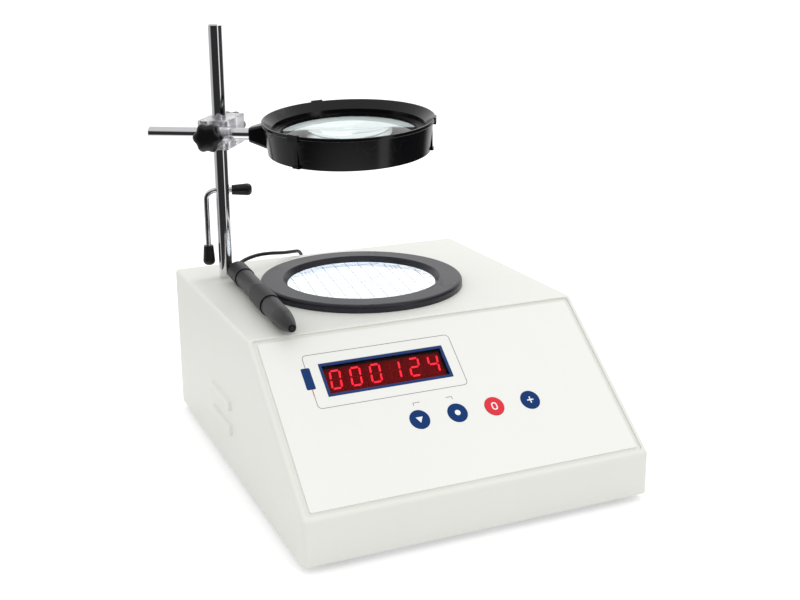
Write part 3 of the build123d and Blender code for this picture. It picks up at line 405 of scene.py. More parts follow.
def make_finishes():
    """Every finish of the counter, by a short name."""
    hue = colours()
    return {
        "housing": finish(
            "Housing powder coat", hue.housing, 0.45, grain=1100, height=0.000018, shade=0.02, marks=0.06
        ),
        "panel": finish(
            "Panel film",
            hue.panel,
            0.42,
            grain=2600,
            height=0.000006,
            shade=0.012,
            marks=0.04,
            Specular_IOR_Level=0.3,
        ),
        "zinc": finish("Zinc plate", (0.5, 0.5, 0.5), 0.38, grain=240, shade=0.3, drift=0.2, Metallic=0.9),
        "screw": finish(
            "Screw steel", (0.56, 0.55, 0.53), 0.3, grain=900, shade=0.1, drift=0.1, Metallic=1.0
        ),
        "blue_gloss": finish(
            "Bezel blue", hue.blue, 0.3, grain=1500, height=0.000004, marks=0.08, Specular_IOR_Level=0.35
        ),
        "blue": finish(
            "Key blue", hue.blue, 0.42, grain=2600, height=0.000006, shade=0.05, Specular_IOR_Level=0.15
        ),
        "red": finish(
            "Key red", hue.red, 0.42, grain=2600, height=0.000006, shade=0.05, Specular_IOR_Level=0.2
        ),
        "white_ink": finish("White ink", (0.9, 0.9, 0.9), 0.45, shade=0.02, **INK),
        "grey_ink": finish("Grey ink", (0.2, 0.2, 0.22), 0.5, shade=0.05, **INK),
        "red_ink": finish("Red ink", (0.75, 0.06, 0.05), 0.5, shade=0.05, **INK),
        "blue_ink": finish("Blue ink", hue.blue, 0.45, shade=0.05, Specular_IOR_Level=0.2, **INK),
        "grid_ink": finish("Grid ink", (0.02, 0.03, 0.06), 0.6, shade=0.1, **INK),
        "ring": finish(
            "Dish ring plastic",
            hue.ring,
            0.34,
            grain=2400,
            height=0.000012,
            shade=0.08,
            drift=0.06,
            marks=0.1,
            Specular_IOR_Level=0.45,
        ),
        "gloss": finish(
            "Gloss black plastic",
            (0.0022, 0.0022, 0.003),
            0.16,
            grain=700,
            height=0.000004,
            drift=0.05,
            marks=0.18,
            Specular_IOR_Level=0.42,
        ),
        "knob": finish("Knob plastic", (0.004, 0.004, 0.005), 0.28, grain=1600, height=0.000006, marks=0.12),
        "matt": finish("Matt black plastic", (0.02, 0.02, 0.022), 0.5, grain=1800, height=0.00001),
        "pen": finish(
            "Pen plastic", (0.012, 0.0115, 0.014), 0.42, grain=2200, height=0.00001, shade=0.1, marks=0.1
        ),
        "pen_soft": finish(
            "Pen grip plastic", (0.010, 0.0095, 0.012), 0.5, grain=1800, height=0.000014, shade=0.1
        ),
        "rubber": finish("Foot rubber", (0.012, 0.012, 0.012), 0.6, grain=1400, height=0.00002, shade=0.15),
        "cap": finish("Cap rubber", (0.004, 0.004, 0.005), 0.36, grain=1200, height=0.00001, marks=0.1),
        "cord": finish("Cord sheath", (0.007, 0.007, 0.008), 0.42, grain=1500, height=0.00001, shade=0.1),
        "chrome": finish(
            "Chrome plate",
            (0.82, 0.82, 0.84),
            0.07,
            grain=500,
            height=0.000001,
            shade=0.02,
            drift=0.03,
            marks=0.1,
            Metallic=1.0,
        ),
        "brass": finish("Brass", (0.6, 0.45, 0.18), 0.3, grain=900, shade=0.1, Metallic=1.0),
        "nickel": finish("Nickel plate", (0.6, 0.57, 0.5), 0.22, grain=900, shade=0.08, Metallic=1.0),
        "board": finish("Circuit board", (0.015, 0.12, 0.05), 0.32, grain=500, height=0.00002, shade=0.25),
        "white_tray": finish("White tray", (0.82, 0.82, 0.83), 0.4, grain=900, shade=0.03),
        "core": finish("Varnished iron", (0.06, 0.055, 0.05), 0.4, grain=600, height=0.00004, shade=0.3),
        "module": finish("Digit module", (0.27, 0.02, 0.035), 0.5, grain=1500, height=0.000008, shade=0.1),
        "dim": finish("Unlit segment", (0.36, 0.09, 0.07), 0.5, grain=1500, height=0.000008, shade=0.1),
        "lamp": finish("Lamp chip", (0.85, 0.8, 0.45), 0.3, grain=1500, height=0.000008),
        "grid_glass": clear("Grid glass", (0.93, 0.97, 1.0), index=1.5),
        "lens": clear("Lens glass", (0.80, 0.90, 0.89), index=1.5, drift=0.005),
        "block": clear("Clear block", (0.95, 0.95, 0.98), roughness=0.13, drift=0.06, share=0.86),
        "window": clear("Display window", (0.74, 0.10, 0.12), roughness=0.04, index=1.2),
        "opal": glowing(
            "Opal diffuser",
            (0.975, 0.985, 1.0),
            1.03,
            side_colour=(0.66, 0.76, 1.0),
            centre=middle_of("grid_glass"),
            reach=0.075,
        ),
        "lit": glowing("Lit segment", hue.lit, 1.5),
    }


NODE_FINISHES = {
    "housing": ["housing_cover", "rear_panel"],
    "panel": ["panel_overlay"],
    "zinc": ["base_plate"],
    "screw": ["foot_screws", "panel_screws", "board_screws", "pen_socket", "post_washer", "post_nut"],
    "blue_gloss": ["display_bezel"],
    "window": ["display_window"],
    "blue": ["key_down", "key_mark", "key_add"],
    "red": ["key_clear"],
    "ring": ["dish_ring"],
    "gloss": ["lens_holder", "lens_retainer", "power_inlet", "rocker_frame", "fuse_holder"],
    "knob": ["rod_knob", "post_knob"],
    "matt": ["rocker", "key_switches", "glass_retainer", "pen_plug"],
    "pen": ["pen_barrel", "pen_nose"],
    "pen_soft": ["pen_rear_cap", "pen_collar", "pen_tip"],
    "rubber": ["feet"],
    "cap": ["hanger_low_cap", "hanger_side_cap"],
    "cord": ["pen_cord_lead", "pen_cord_coil", "pen_cord_tail"],
    "chrome": ["post", "cross_rod", "hanger_rod", "rod_stud", "post_stud"],
    "brass": ["board_standoffs", "power_spacers"],
    "nickel": ["inlet_pins"],
    "board": ["panel_board", "power_board"],
    "white_tray": ["light_tray", "lamp_board"],
    "core": ["power_parts"],
    "module": ["digit_modules"],
    "lamp": ["lamps"],
    "grid_glass": ["grid_glass"],
    "lens": ["lens"],
    "block": ["clamp_block", "post_sleeve", "rod_sleeve"],
    "opal": ["diffuser"],
}


# Mesh helpers
def turn_outwards(mesh):
    """Merges doubles and recalculates the normals of a mesh."""
    work = bmesh.new()
    work.from_mesh(mesh)
    bmesh.ops.remove_doubles(work, verts=work.verts, dist=1e-7)
    bmesh.ops.recalc_face_normals(work, faces=work.faces)
    work.to_mesh(mesh)
    work.free()


def mesh_piece(name, points, faces, material, body, slot, smooth=False):
    """One mesh object at the origin from rows of points and lists of corner numbers, faces outwards."""
    mesh = bpy.data.meshes.new(name)
    mesh.from_pydata(np.asarray(points, float).tolist(), [], faces)
    mesh.validate()
    mesh.update()
    if smooth:
        mesh.shade_smooth()
    made = bpy.data.objects.new(name, mesh)
    bpy.context.scene.collection.objects.link(made)
    mesh.materials.append(material)
    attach(made, body)
    turn_outwards(mesh)
    return made


def slab(outline, low, high):
    """A closed slab from one outline: the outline at low and at high, joined by walls.

    low and high are rows of points; the faces are given so that they look outwards when the
    outline turns anticlockwise seen from high."""
    count = len(outline)
    points = np.concatenate([low, high])
    ring = np.arange(count)
    after = np.roll(ring, -1)
    walls = np.stack([ring, after, after + count, ring + count], axis=1).tolist()
    return points, [list(ring[::-1])] + [list(ring + count)] + walls


def joined(parts):
    """Several (points, faces) as one."""
    points, faces, start = [], [], 0
    for some, lists in parts:
        points.append(some)
        faces += [[int(i) + start for i in face] for face in lists]
        start += len(some)
    return np.concatenate(points), faces


def slope_slab(outline, base, thickness):
    """A slab on the front slope from an outline of (across, down), base and thickness in millimetres."""
    outline = np.asarray(outline, float)
    turn = outline[:, 0] * -np.roll(outline[:, 1], -1) + np.roll(outline[:, 0], -1) * outline[:, 1]
    if turn.sum() < 0:
        outline = outline[::-1]
    return slab(outline, on_slope(outline, base), on_slope(outline, base + thickness))


def stroke(path, width, closed=False):
    """The outline or outlines of a line of that width along a path of (across, down), with mitred corners.

    At each point the offset is the mean of the two runs' normals, divided by the cosine of half the turn."""
    path = np.asarray(path, float)
    if closed:
        runs = np.roll(path, -1, axis=0) - path
        ahead, behind = runs, np.roll(runs, 1, axis=0)
    else:
        runs = np.diff(path, axis=0)
        ahead = np.vstack([runs, runs[-1:]])
        behind = np.vstack([runs[:1], runs])
    ahead = ahead / np.linalg.norm(ahead, axis=1, keepdims=True)
    behind = behind / np.linalg.norm(behind, axis=1, keepdims=True)
    middle = ahead + behind
    middle /= np.linalg.norm(middle, axis=1, keepdims=True)
    normal = np.stack([-middle[:, 1], middle[:, 0]], axis=1)
    reach = width / 2 / np.sum(middle * ahead, axis=1, keepdims=True)
    return path + normal * reach, path - normal * reach


def slope_line(path, width, base, thickness, closed=False):
    """A printed line on the slope: one closed band of quads along the path."""
    left, right = stroke(path, width, closed)
    count = len(left)
    rows = np.concatenate(
        [
            on_slope(left, base),
            on_slope(right, base),
            on_slope(right, base + thickness),
            on_slope(left, base + thickness),
        ]
    )
    step = np.arange(count if closed else count - 1)
    after = (step + 1) % count
    faces = []
    for first, second in ((0, 1), (1, 2), (2, 3), (3, 0)):
        near, far = first * count, second * count
        faces += np.stack([step + near, step + far, after + far, after + near], axis=1).tolist()
    if not closed:
        faces += [[0, 3 * count, 2 * count, count], [count - 1, 2 * count - 1, 3 * count - 1, 4 * count - 1]]
    return rows, faces


def rounded_rectangle(left, top, right, bottom, radius, steps=6):
    """Corners of a rectangle as quarter circles, in (across, down)."""
    angles = np.linspace(0, math.pi / 2, steps)
    arc = np.stack([np.cos(angles), np.sin(angles)], axis=1) * radius
    corners = (
        (right - radius, bottom - radius, 0),
        (left + radius, bottom - radius, 1),
        (left + radius, top + radius, 2),
        (right - radius, top + radius, 3),
    )
    rows = []
    for x, y, quarter in corners:
        c, s = math.cos(quarter * math.pi / 2), math.sin(quarter * math.pi / 2)
        rows.append(arc @ np.array([[c, s], [-s, c]]) + [x, y])
    return np.concatenate(rows)


def circle(x, down, radius, steps=48):
    angles = np.linspace(0, 2 * math.pi, steps, endpoint=False)
    return np.stack([x + radius * np.cos(angles), down + radius * np.sin(angles)], axis=1)


# Printed marks on the panel
def panel_marks(ink, width):
    """Grey frame round the display, its blue tag and red stroke, and the two brackets over the keys."""
    face = OVERLAY_FACE
    frame_line = rounded_rectangle(-91.6, 18.2, 16.6, 59.3, 3.0)
    brackets = [
        [(-27.5, 68.6), (-27.5, 66.5), (-22.6, 66.5)],
        [(-3.3, 66.5), (1.1, 66.5), (1.1, 68.6)],
    ]
    grey = [slope_line(frame_line, width, face, ink, closed=True)]
    grey += [slope_line(path, width, face, ink) for path in brackets]
    blue = [slope_slab(rounded_rectangle(-95.1, 27.9, -88.9, 44.4, 0.9), face, 2 * ink)]
    red = [slope_line([(-91.6, 44.6), (-91.6, 49.6)], 1.4 * width, face, 1.6 * ink)]
    return {"grey": grey, "blue": blue, "red": red}


# Seven segment digits: corners of each segment in a cell one wide and two high
SEGMENTS = {
    "a": [(0, 2), (1, 2)],
    "b": [(1, 2), (1, 1)],
    "c": [(1, 1), (1, 0)],
    "d": [(1, 0), (0, 0)],
    "e": [(0, 0), (0, 1)],
    "f": [(0, 1), (0, 2)],
    "g": [(0, 1), (1, 1)],
}
DIGIT_SHAPES = {"0": "abcdef", "1": "bc", "2": "abged", "4": "fgbc"}


def segment_outline(start, end, width, gap):
    """A bar with pointed ends between two corners, drawn in by gap at each end."""
    start, end = np.array(start, float), np.array(end, float)
    along = (end - start) / np.linalg.norm(end - start)
    side = np.array([-along[1], along[0]]) * width / 2
    start, end = start + along * gap, end - along * gap
    head, tail = start + along * width / 2, end - along * width / 2
    return np.array([start, head + side, tail + side, end, tail - side, head - side])


def digits(shown, height, slant):
    """Lit and unlit segments of the shown digits, in the modules' faces.

    A digit's corners lie on a cell half as wide as it is high; each point then leans by the slant."""
    lit, unlit = [], []
    level = WINDOW_MIDDLE[1] + DIGIT_OFFSET[1]
    width = 0.5 * height
    stroke_width = 0.1 * height
    for i, digit in enumerate(shown):
        middle = WINDOW_MIDDLE[0] + (i - (len(shown) - 1) / 2) * DIGIT_PITCH + DIGIT_OFFSET[0]
        for name, (start, end) in SEGMENTS.items():
            corners = [np.array(p) * [width, height / 2] - [width / 2, height / 2] for p in (start, end)]
            outline = segment_outline(*corners, stroke_width, 0.035 * height)
            outline[:, 0] += outline[:, 1] * math.tan(slant)
            flat = np.stack([middle + outline[:, 0], level - outline[:, 1]], axis=1)
            target = lit if name in DIGIT_SHAPES[digit] else unlit
            target.append(slope_slab(flat, DIGIT_FACE, DIGIT_THICKNESS))
        dot = circle(middle + width / 2 + 2.0, level + height / 2, 0.7, 16)
        unlit.append(slope_slab(dot, DIGIT_FACE, DIGIT_THICKNESS))
    return lit, unlit


# Grid on the glass
def grid_bars(pitch, width, radius, level, turn):
    """Ruled lines as thin bars, each cut to the circle's chord: half length = sqrt(radius^2 - offset^2).

    The squares on the two diagonals are ruled three times finer, as on a counting plate. Each bar is
    turned about the glass's middle."""
    centre = np.array(middle_of("grid_glass"))[:2]
    around = np.array([[math.cos(turn), math.sin(turn)], [-math.sin(turn), math.cos(turn)]])
    bars = []

    def bar(offset, low, high, across, thickness):
        """One bar at an offset, from low to high along its own direction."""
        half = thickness / 2
        near, far = offset - half, offset + half
        square = np.array([(low, near), (high, near), (high, far), (low, far)])
        if not across:
            square = square[::-1, ::-1]
        points = np.column_stack([square @ around + centre, np.zeros(4)])
        bars.append(slab(square, points + [0, 0, level], points + [0, 0, level + GRID_INK]))

    count = int(radius / pitch)
    for i in range(-count, count + 1):
        half = math.sqrt(max(radius**2 - (i * pitch) ** 2, 0))
        bar(i * pitch, -half, half, False, width)
        bar(i * pitch, -half, half, True, width)
    for i in range(4):
        for side in (-1, 1):
            for way in (-1, 1):
                x, y = sorted((side * i, side * (i + 1))), sorted((way * i, way * (i + 1)))
                for third in (1 / 3, 2 / 3):
                    bar((x[0] + third) * pitch, y[0] * pitch, y[1] * pitch, False, 0.6 * width)
                    bar((y[0] + third) * pitch, x[0] * pitch, x[1] * pitch, True, 0.6 * width)
    return bars


# Lobed knob
def knob_surface(origin, outward, up):
    """Six lobed knob as a surface of turn angle a and step s.

    Each step has a height z, a mean radius r and a lobe share w, in millimetres, and the radius there is
    r * (1 + w * (cos 6a to the power 0.9, with its outer halves at 0.7)). The neck's end is at height 0."""
    steps = np.array(
        [
            (0.0, 0.0, 0.0),
            (0.0, 5.2, 0.0),
            (0.3, 5.6, 0.0),
            (2.6, 5.6, 0.0),
            (4.6, 5.9, 0.0),
            (5.3, 7.0, 0.01),
            (5.6, 8.4, 0.03),
            (6.0, 9.6, 0.06),
            (6.9, 10.35, 0.085),
            (8.4, 10.6, 0.095),
            (10.4, 10.65, 0.1),
            (12.2, 10.55, 0.095),
            (13.3, 10.2, 0.085),
            (14.2, 9.5, 0.07),
            (14.9, 8.5, 0.05),
            (15.5, 7.0, 0.03),
            (16.0, 4.9, 0.01),
            (16.3, 2.5, 0.0),
            (16.35, 0.0, 0.0),
        ]
    )
    angles = np.linspace(0, 2 * math.pi, 144, endpoint=False)
    wave = np.cos(6 * angles)
    lobes = np.sign(wave) * np.abs(wave) ** 0.9
    lobes = np.where(lobes > 0, 0.7 * lobes, lobes)
    z, r, w = (column[:, None] for column in steps.T)
    radius = r * (1 + w * lobes[None, :])
    side = np.cross(up, outward)
    spokes = np.cos(angles)[None, :, None] * side + np.sin(angles)[None, :, None] * up
    points = origin + radius[..., None] / 1000 * spokes + z[..., None] / 1000 * outward
    rows, count = radius.shape
    first = np.arange(rows - 1)[:, None] * count
    here = first + np.arange(count)[None, :]
    after = first + (np.arange(count)[None, :] + 1) % count
    quads = np.stack([here, after, after + count, here + count], axis=-1).reshape(-1, 4)
    return points.reshape(-1, 3), quads.tolist()


ARM_TURN = math.radians(123.0)
ARM = np.array([math.sin(ARM_TURN), math.cos(ARM_TURN), 0.0])
ACROSS_ARM = np.array([-ARM[1], ARM[0], 0.0])
CLAMP_MIDDLE = (-93.5, 111.8, 234.6)
BLOCK_FRONT = 24.4
BLOCK_BACK = 20.0
KNOB_GAP = 1.0
ROD_KNOB_SHIFT = 2.4


def knob_place(side):
    """Where a knob's neck ends: side -1 is the rod's knob at the front, 1 the post's at the back."""
    reach = (BLOCK_FRONT if side < 0 else BLOCK_BACK) + KNOB_GAP
    shift = ROD_KNOB_SHIFT if side < 0 else 0.0
    return place(*CLAMP_MIDDLE) + (side * reach * ACROSS_ARM + shift * ARM) / 1000


# Pen cord: the route's own points, with the coil's turns between its two runs
LEAD_ROUTE = [
    (-88.2, 98.1, 126.5),
    (-88.05, 103.1, 126.5),
    (-83.9, 110.1, 127.7),
    (-76.2, 117.5, 129.1),
    (-63.5, 124.5, 129.9),
    (-50.0, 130.5, 128.5),
    (-37.5, 138.0, 125.5),
    (-26.5, 146.2, 123.4),
    (-16.8, 154.8, 121.3),
    (-12.6, 159.6, 112.5),
    (-11.5, 162.5, 98.0),
    (-11.0, 165.0, 75.5),
    (-10.5, 168.0, 48.5),
    (-8.5, 172.5, 25.5),
    (-3.0, 179.0, 11.0),
    (5.5, 184.5, 3.6),
    (16.0, 185.5, 1.6),
]
TAIL_ROUTE = [
    (14.0, 221.6, 4.0),
    (1.5, 219.3, 4.4),
    (-9.0, 212.0, 14.0),
    (-17.0, 206.0, 29.5),
    (-20.0, 196.5, 42.0),
    (-20.0, 183.4, 42.0),
]
COIL_MIDDLE = (34.0, 202.0)
COIL_STEP = 3.06
COIL_RADII = (19.45, 13.35)
COIL_START = math.radians(-95)
COIL_EXTRA_TURNS = 1.53
COIL_CLIMB_TURNS = 0.45


def coil_points(turn_steps=16):
    """The coil's turns: a flat spiral inwards on the floor, then one outwards lying on it.

    The radius falls by one step a turn from the outer to the inner value and rises again on the
    second layer; the height eases from half a step to one and a half over the turns of the climb."""
    outer, inner = COIL_RADII
    turns = (outer - inner) / COIL_STEP
    t = np.arange(0, 2 * turns + COIL_EXTRA_TURNS, 1 / turn_steps)
    half = turns + 0.5
    down_in = np.clip(t, 0, turns)
    up_out = np.clip(t - half, 0, turns)
    radius = outer - down_in * COIL_STEP + up_out * COIL_STEP
    climb = np.clip((t - turns) / COIL_CLIMB_TURNS, 0, 1)
    height = COIL_STEP / 2 + COIL_STEP * climb * climb * (3 - 2 * climb)
    angle = COIL_START + t * 2 * math.pi
    across, behind = COIL_MIDDLE
    return np.stack([across + radius * np.cos(angle), behind + radius * np.sin(angle), height], axis=1)


def smooth_curve(name, route, radius, material):
    """One open NURBS spline of order 3 with the route's points, tubed to the radius."""
    curve = bpy.data.curves.new(name, "CURVE")
    curve.dimensions = "3D"
    spline = curve.splines.new("NURBS")
    spline.points.add(len(route) - 1)
    flat = np.column_stack([route, np.ones(len(route))]).astype(np.float32).ravel()
    spline.points.foreach_set("co", flat)
    spline.order_u = 3
    spline.use_endpoint_u = True
    spline.resolution_u = 6
    curve.bevel_depth = radius
    curve.bevel_resolution = 4
    curve.use_fill_caps = True
    curve.materials.append(material)
    made = bpy.data.objects.new(name, curve)
    bpy.context.scene.collection.objects.link(made)
    return made


def centreline_length(made):
    """Length of a curve's own line, read from a copy without its tube."""
    bare = made.data.copy()
    bare.bevel_depth = 0
    probe = bpy.data.objects.new("length probe", bare)
    bpy.context.scene.collection.objects.link(probe)
    bpy.context.view_layer.update()
    mesh = bpy.data.meshes.new_from_object(probe.evaluated_get(bpy.context.evaluated_depsgraph_get()))
    rows = np.empty(len(mesh.vertices) * 3)
    mesh.vertices.foreach_get("co", rows)
    rows = rows.reshape(-1, 3)
    total = float(np.linalg.norm(np.diff(rows, axis=0), axis=1).sum())
    bpy.data.objects.remove(probe)
    bpy.data.curves.remove(bare)
    bpy.data.meshes.remove(mesh)
    return total


FINISHES = {}


def finish_of(name):
    """A finish by its short name; all are made at the first call."""
    if not FINISHES:
        FINISHES.update(make_finishes())
    return FINISHES[name]


class COUNTER_OT_finishes(bpy.types.Operator):
    """Gives every part of the frame its finish"""

    bl_idname = "counter.finishes"
    bl_label = "Finishes"

    def execute(self, context):
        for key, names in NODE_FINISHES.items():
            for name in names:
                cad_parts[name].material_slots[0].material = finish_of(key)
        left = set(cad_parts) - {n for names in NODE_FINISHES.values() for n in names}
        if left:
            raise RuntimeError(f"no finish for {sorted(left)}")
        return {"FINISHED"}


class COUNTER_OT_panel_marks(bpy.types.Operator):
    """Prints the lines, the tag and the brackets on the front panel"""

    bl_idname = "counter.panel_marks"
    bl_label = "Panel marks"

    def execute(self, context):
        ink = sizes().print_thickness * 1000
        marks = panel_marks(ink, sizes().print_line * 1000)
        for colour, parts in marks.items():
            ink_finish = finish_of(f"{colour}_ink")
            mesh_piece(f"panel_{colour}_marks", *joined(parts), ink_finish, "base", "overlay_film")
        return {"FINISHED"}


class COUNTER_OT_digits(bpy.types.Operator):
    """Sets the lit and unlit segments in the display's modules"""

    bl_idname = "counter.digits"
    bl_label = "Digits"

    def execute(self, context):
        lit, unlit = digits("000124", sizes().digit_height * 1000, sizes().digit_slant)
        for name, parts, key in (("lit_segments", lit, "lit"), ("unlit_segments", unlit, "dim")):
            mesh_piece(name, *joined(parts), finish_of(key), "base", "digit_plastic")
        return {"FINISHED"}


class COUNTER_OT_key_symbols(bpy.types.Operator):
    """Prints a symbol on each round key"""

    bl_idname = "counter.key_symbols"
    bl_label = "Key symbols"

    def execute(self, context):
        ink = 2 * sizes().print_thickness * 1000
        down = KEY_DOWN_SLOPE
        x = KEY_PLACES["key_down"]
        triangle = np.array([(x - 2.5, down - 1.7), (x + 2.5, down - 1.7), (x, down + 2.6)])
        x = KEY_PLACES["key_clear"]
        zero = rounded_rectangle(x - 1.7, down - 2.5, x + 1.7, down + 2.5, 1.6)
        x = KEY_PLACES["key_add"]
        bars = [
            [(x - 2.4, down), (x + 2.4, down)],
            [(x, down - 2.4), (x, down - 0.4)],
            [(x, down + 0.4), (x, down + 2.4)],
        ]
        symbols = {
            "key_down": [slope_slab(triangle, KEY_FACE, ink)],
            "key_mark": [slope_slab(circle(KEY_PLACES["key_mark"], down, 2.0), KEY_FACE, ink)],
            "key_clear": [slope_line(zero, 0.9, KEY_FACE, ink, closed=True)],
            "key_add": [slope_line(path, 0.9, KEY_FACE, ink) for path in bars],
        }
        for key, parts in symbols.items():
            body = key.split("_")[1] + "_key"
            slot = "key_red" if key == "key_clear" else "key_blue"
            mesh_piece(f"{key}_symbol", *joined(parts), finish_of("white_ink"), body, slot)
        return {"FINISHED"}


class COUNTER_OT_grid(bpy.types.Operator):
    """Rules the counting grid under the glass"""

    bl_idname = "counter.grid"
    bl_label = "Counting grid"

    def execute(self, context):
        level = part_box("grid_glass")[0][2] - GRID_DROP
        bars = grid_bars(sizes().grid_pitch, sizes().grid_line, GRID_RADIUS, level, sizes().grid_turn)
        mesh_piece("grid_lines", *joined(bars), finish_of("grid_ink"), "base", "grid_glass")
        return {"FINISHED"}


class COUNTER_OT_knobs(bpy.types.Operator):
    """Makes the two lobed clamp knobs"""

    bl_idname = "counter.knobs"
    bl_label = "Clamp knobs"

    def execute(self, context):
        up = np.array([0.0, 0.0, 1.0])
        black = finish_of("knob")
        for name, side, body in (("rod_knob", -1, "rod_clamp_knob"), ("post_knob", 1, "post_clamp_knob")):
            surface = knob_surface(knob_place(side), side * ACROSS_ARM, up)
            made = mesh_piece(f"{name}_head", *surface, black, body, "gloss_black", smooth=True)
            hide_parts(name)
        return {"FINISHED"}


class COUNTER_OT_cord(bpy.types.Operator):
    """Lays the pen's cord: over the back edge, down to its coil and up to its plug"""

    bl_idname = "counter.cord"
    bl_label = "Pen cord"

    def execute(self, context):
        route = np.concatenate([LEAD_ROUTE, coil_points(), TAIL_ROUTE]) / 1000 + np.array(SHIFT)
        thick = sizes().cord_diameter
        made = smooth_curve("pen_cord", route, thick / 2, finish_of("cord"))
        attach(made, "base")
        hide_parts("pen_cord_lead", "pen_cord_coil", "pen_cord_tail")
        centreline_length(made)
        return {"FINISHED"}


class COUNTER_OT_stage(bpy.types.Operator):
    """Makes the camera, the floor, the lamps and the world"""

    bl_idname = "counter.stage"
    bl_label = "Stage"

    def execute(self, context):
        make_camera()
        make_floor()
        make_lamps()
        make_world()
        context.scene.view_settings.view_transform = "Standard"
        return {"FINISHED"}


CAMERA_PLACE = (-325.75, -742.13, 365.33)
CAMERA_TURNS = (-0.3985, 0.2720, -0.0105)
CAMERA_SHIFT = (0.0320, -0.0346)
CAMERA_LENS = 51.75


def make_camera():
    """Camera turned by its heading, tilt and roll, with the shift that frames the counter."""
    heading, tilt, roll = CAMERA_TURNS
    flat = math.cos(tilt)
    back = Vector((math.sin(heading) * flat, -math.cos(heading) * flat, math.sin(tilt)))
    right = Vector((0, 0, 1)).cross(back).normalized()
    up = back.cross(right)
    level, lean = math.cos(roll), math.sin(roll)
    right, up = level * right + lean * up, level * up - lean * right
    data = bpy.data.cameras.new("view")
    data.lens = CAMERA_LENS
    data.sensor_width = 36
    data.shift_x, data.shift_y = CAMERA_SHIFT
    data.clip_start = 0.02
    data.clip_end = 20
    camera = bpy.data.objects.new("view", data)
    turn = Matrix((right, up, back)).transposed().to_4x4()
    camera.matrix_world = Matrix.Translation(Vector(place(*CAMERA_PLACE))) @ turn
    bpy.context.scene.collection.objects.link(camera)
    bpy.context.scene.camera = camera


# The room that the glossy parts reflect: its directions, and its brightness by heading
ROOM_FRONT = Vector((-0.388, -0.921, 0.0))
ROOM_RIGHT = Vector((0.921, -0.388, 0.0))
ROOM_TONES = (
    (0.00, 1.0),
    (0.10, 0.95),
    (0.17, 0.55),
    (0.285, 0.45),
    (0.31, 0.03),
    (0.615, 0.03),
    (0.625, 1.0),
    (0.66, 1.0),
    (0.67, 0.04),
    (0.86, 0.05),
    (0.90, 0.9),
    (1.00, 1.0),
)


def room_tone(tree, direction):
    """Brightness of the room's reflection round the object, from the heading of a direction socket.

    The heading is 0.5 towards the dark room in front, and 0 or 1 towards the white sweep behind."""
    parts = []
    for axis in (ROOM_RIGHT, ROOM_FRONT):
        product = add_node(tree, "ShaderNodeVectorMath", operation="DOT_PRODUCT")
        tree.links.new(direction, product.inputs[0])
        product.inputs[1].default_value = axis
        parts.append(product.outputs["Value"])
    turned = calculate(tree, "ARCTAN2", *parts)
    heading = calculate(tree, "ADD", calculate(tree, "DIVIDE", turned, 2 * math.pi), 0.5)
    tones = add_node(tree, "ShaderNodeValToRGB")
    ramp = tones.color_ramp
    while len(ramp.elements) < len(ROOM_TONES):
        ramp.elements.new(0.5)
    for stop, (spot, tone) in zip(ramp.elements, ROOM_TONES):
        stop.position = spot
        stop.color = (tone, tone, tone, 1)
    tree.links.new(heading, tones.inputs["Fac"])
    return tones.outputs["Color"]


def ease(tree, value, low, high):
    """0 below low and 1 above high, with soft ends."""
    share = add_node(tree, "ShaderNodeMapRange", interpolation_type="SMOOTHSTEP")
    share.inputs["From Min"].default_value = low
    share.inputs["From Max"].default_value = high
    tree.links.new(value, share.inputs["Value"])
    return share.outputs["Result"]


FLOOR_EDGE = 6.0
FLOOR_GLOW = 0.36
FLOOR_ROOM_START = (0.24, 0.5)


def make_floor():
    """A wide pale floor: it takes the shadow, shows white to the camera, and its far parts carry
    the room's reflection for glossy surfaces."""
    mesh = bpy.data.meshes.new("floor")
    edge = FLOOR_EDGE
    corners = [(-edge, -edge, 0), (edge, -edge, 0), (edge, edge, 0), (-edge, edge, 0)]
    mesh.from_pydata(corners, [], [[0, 1, 2, 3]])
    floor = bpy.data.objects.new("floor", mesh)
    bpy.context.scene.collection.objects.link(floor)
    made = bpy.data.materials.new("Pale floor")
    made.use_nodes = True
    tree = made.node_tree
    shader = tree.nodes["Principled BSDF"]
    shader.inputs["Base Color"].default_value = (0.82, 0.82, 0.82, 1)
    shader.inputs["Roughness"].default_value = 0.8
    shader.inputs["Specular IOR Level"].default_value = 0.1
    path = add_node(tree, "ShaderNodeLightPath")
    seen = calculate(tree, "MAXIMUM", path.outputs["Is Camera Ray"], path.outputs["Is Glossy Ray"])
    seen = calculate(tree, "MAXIMUM", seen, path.outputs["Is Transmission Ray"])
    shader.inputs["Emission Color"].default_value = (1, 1, 1, 1)
    tree.links.new(calculate(tree, "MULTIPLY", seen, FLOOR_GLOW), shader.inputs["Emission Strength"])
    coords = add_node(tree, "ShaderNodeTexCoord")
    distance = add_node(tree, "ShaderNodeVectorMath", operation="LENGTH")
    tree.links.new(coords.outputs["Object"], distance.inputs[0])
    far = ease(tree, distance.outputs["Value"], *FLOOR_ROOM_START)
    room = add_node(tree, "ShaderNodeEmission")
    tree.links.new(room_tone(tree, coords.outputs["Object"]), room.inputs["Color"])
    mixed = add_node(tree, "ShaderNodeMixShader")
    tree.links.new(calculate(tree, "MULTIPLY", far, path.outputs["Is Glossy Ray"]), mixed.inputs["Fac"])
    tree.links.new(shader.outputs["BSDF"], mixed.inputs[1])
    tree.links.new(room.outputs["Emission"], mixed.inputs[2])
    tree.links.new(mixed.outputs["Shader"], tree.nodes["Material Output"].inputs["Surface"])
    mesh.materials.append(made)


LAMP_SIZE = 1.3


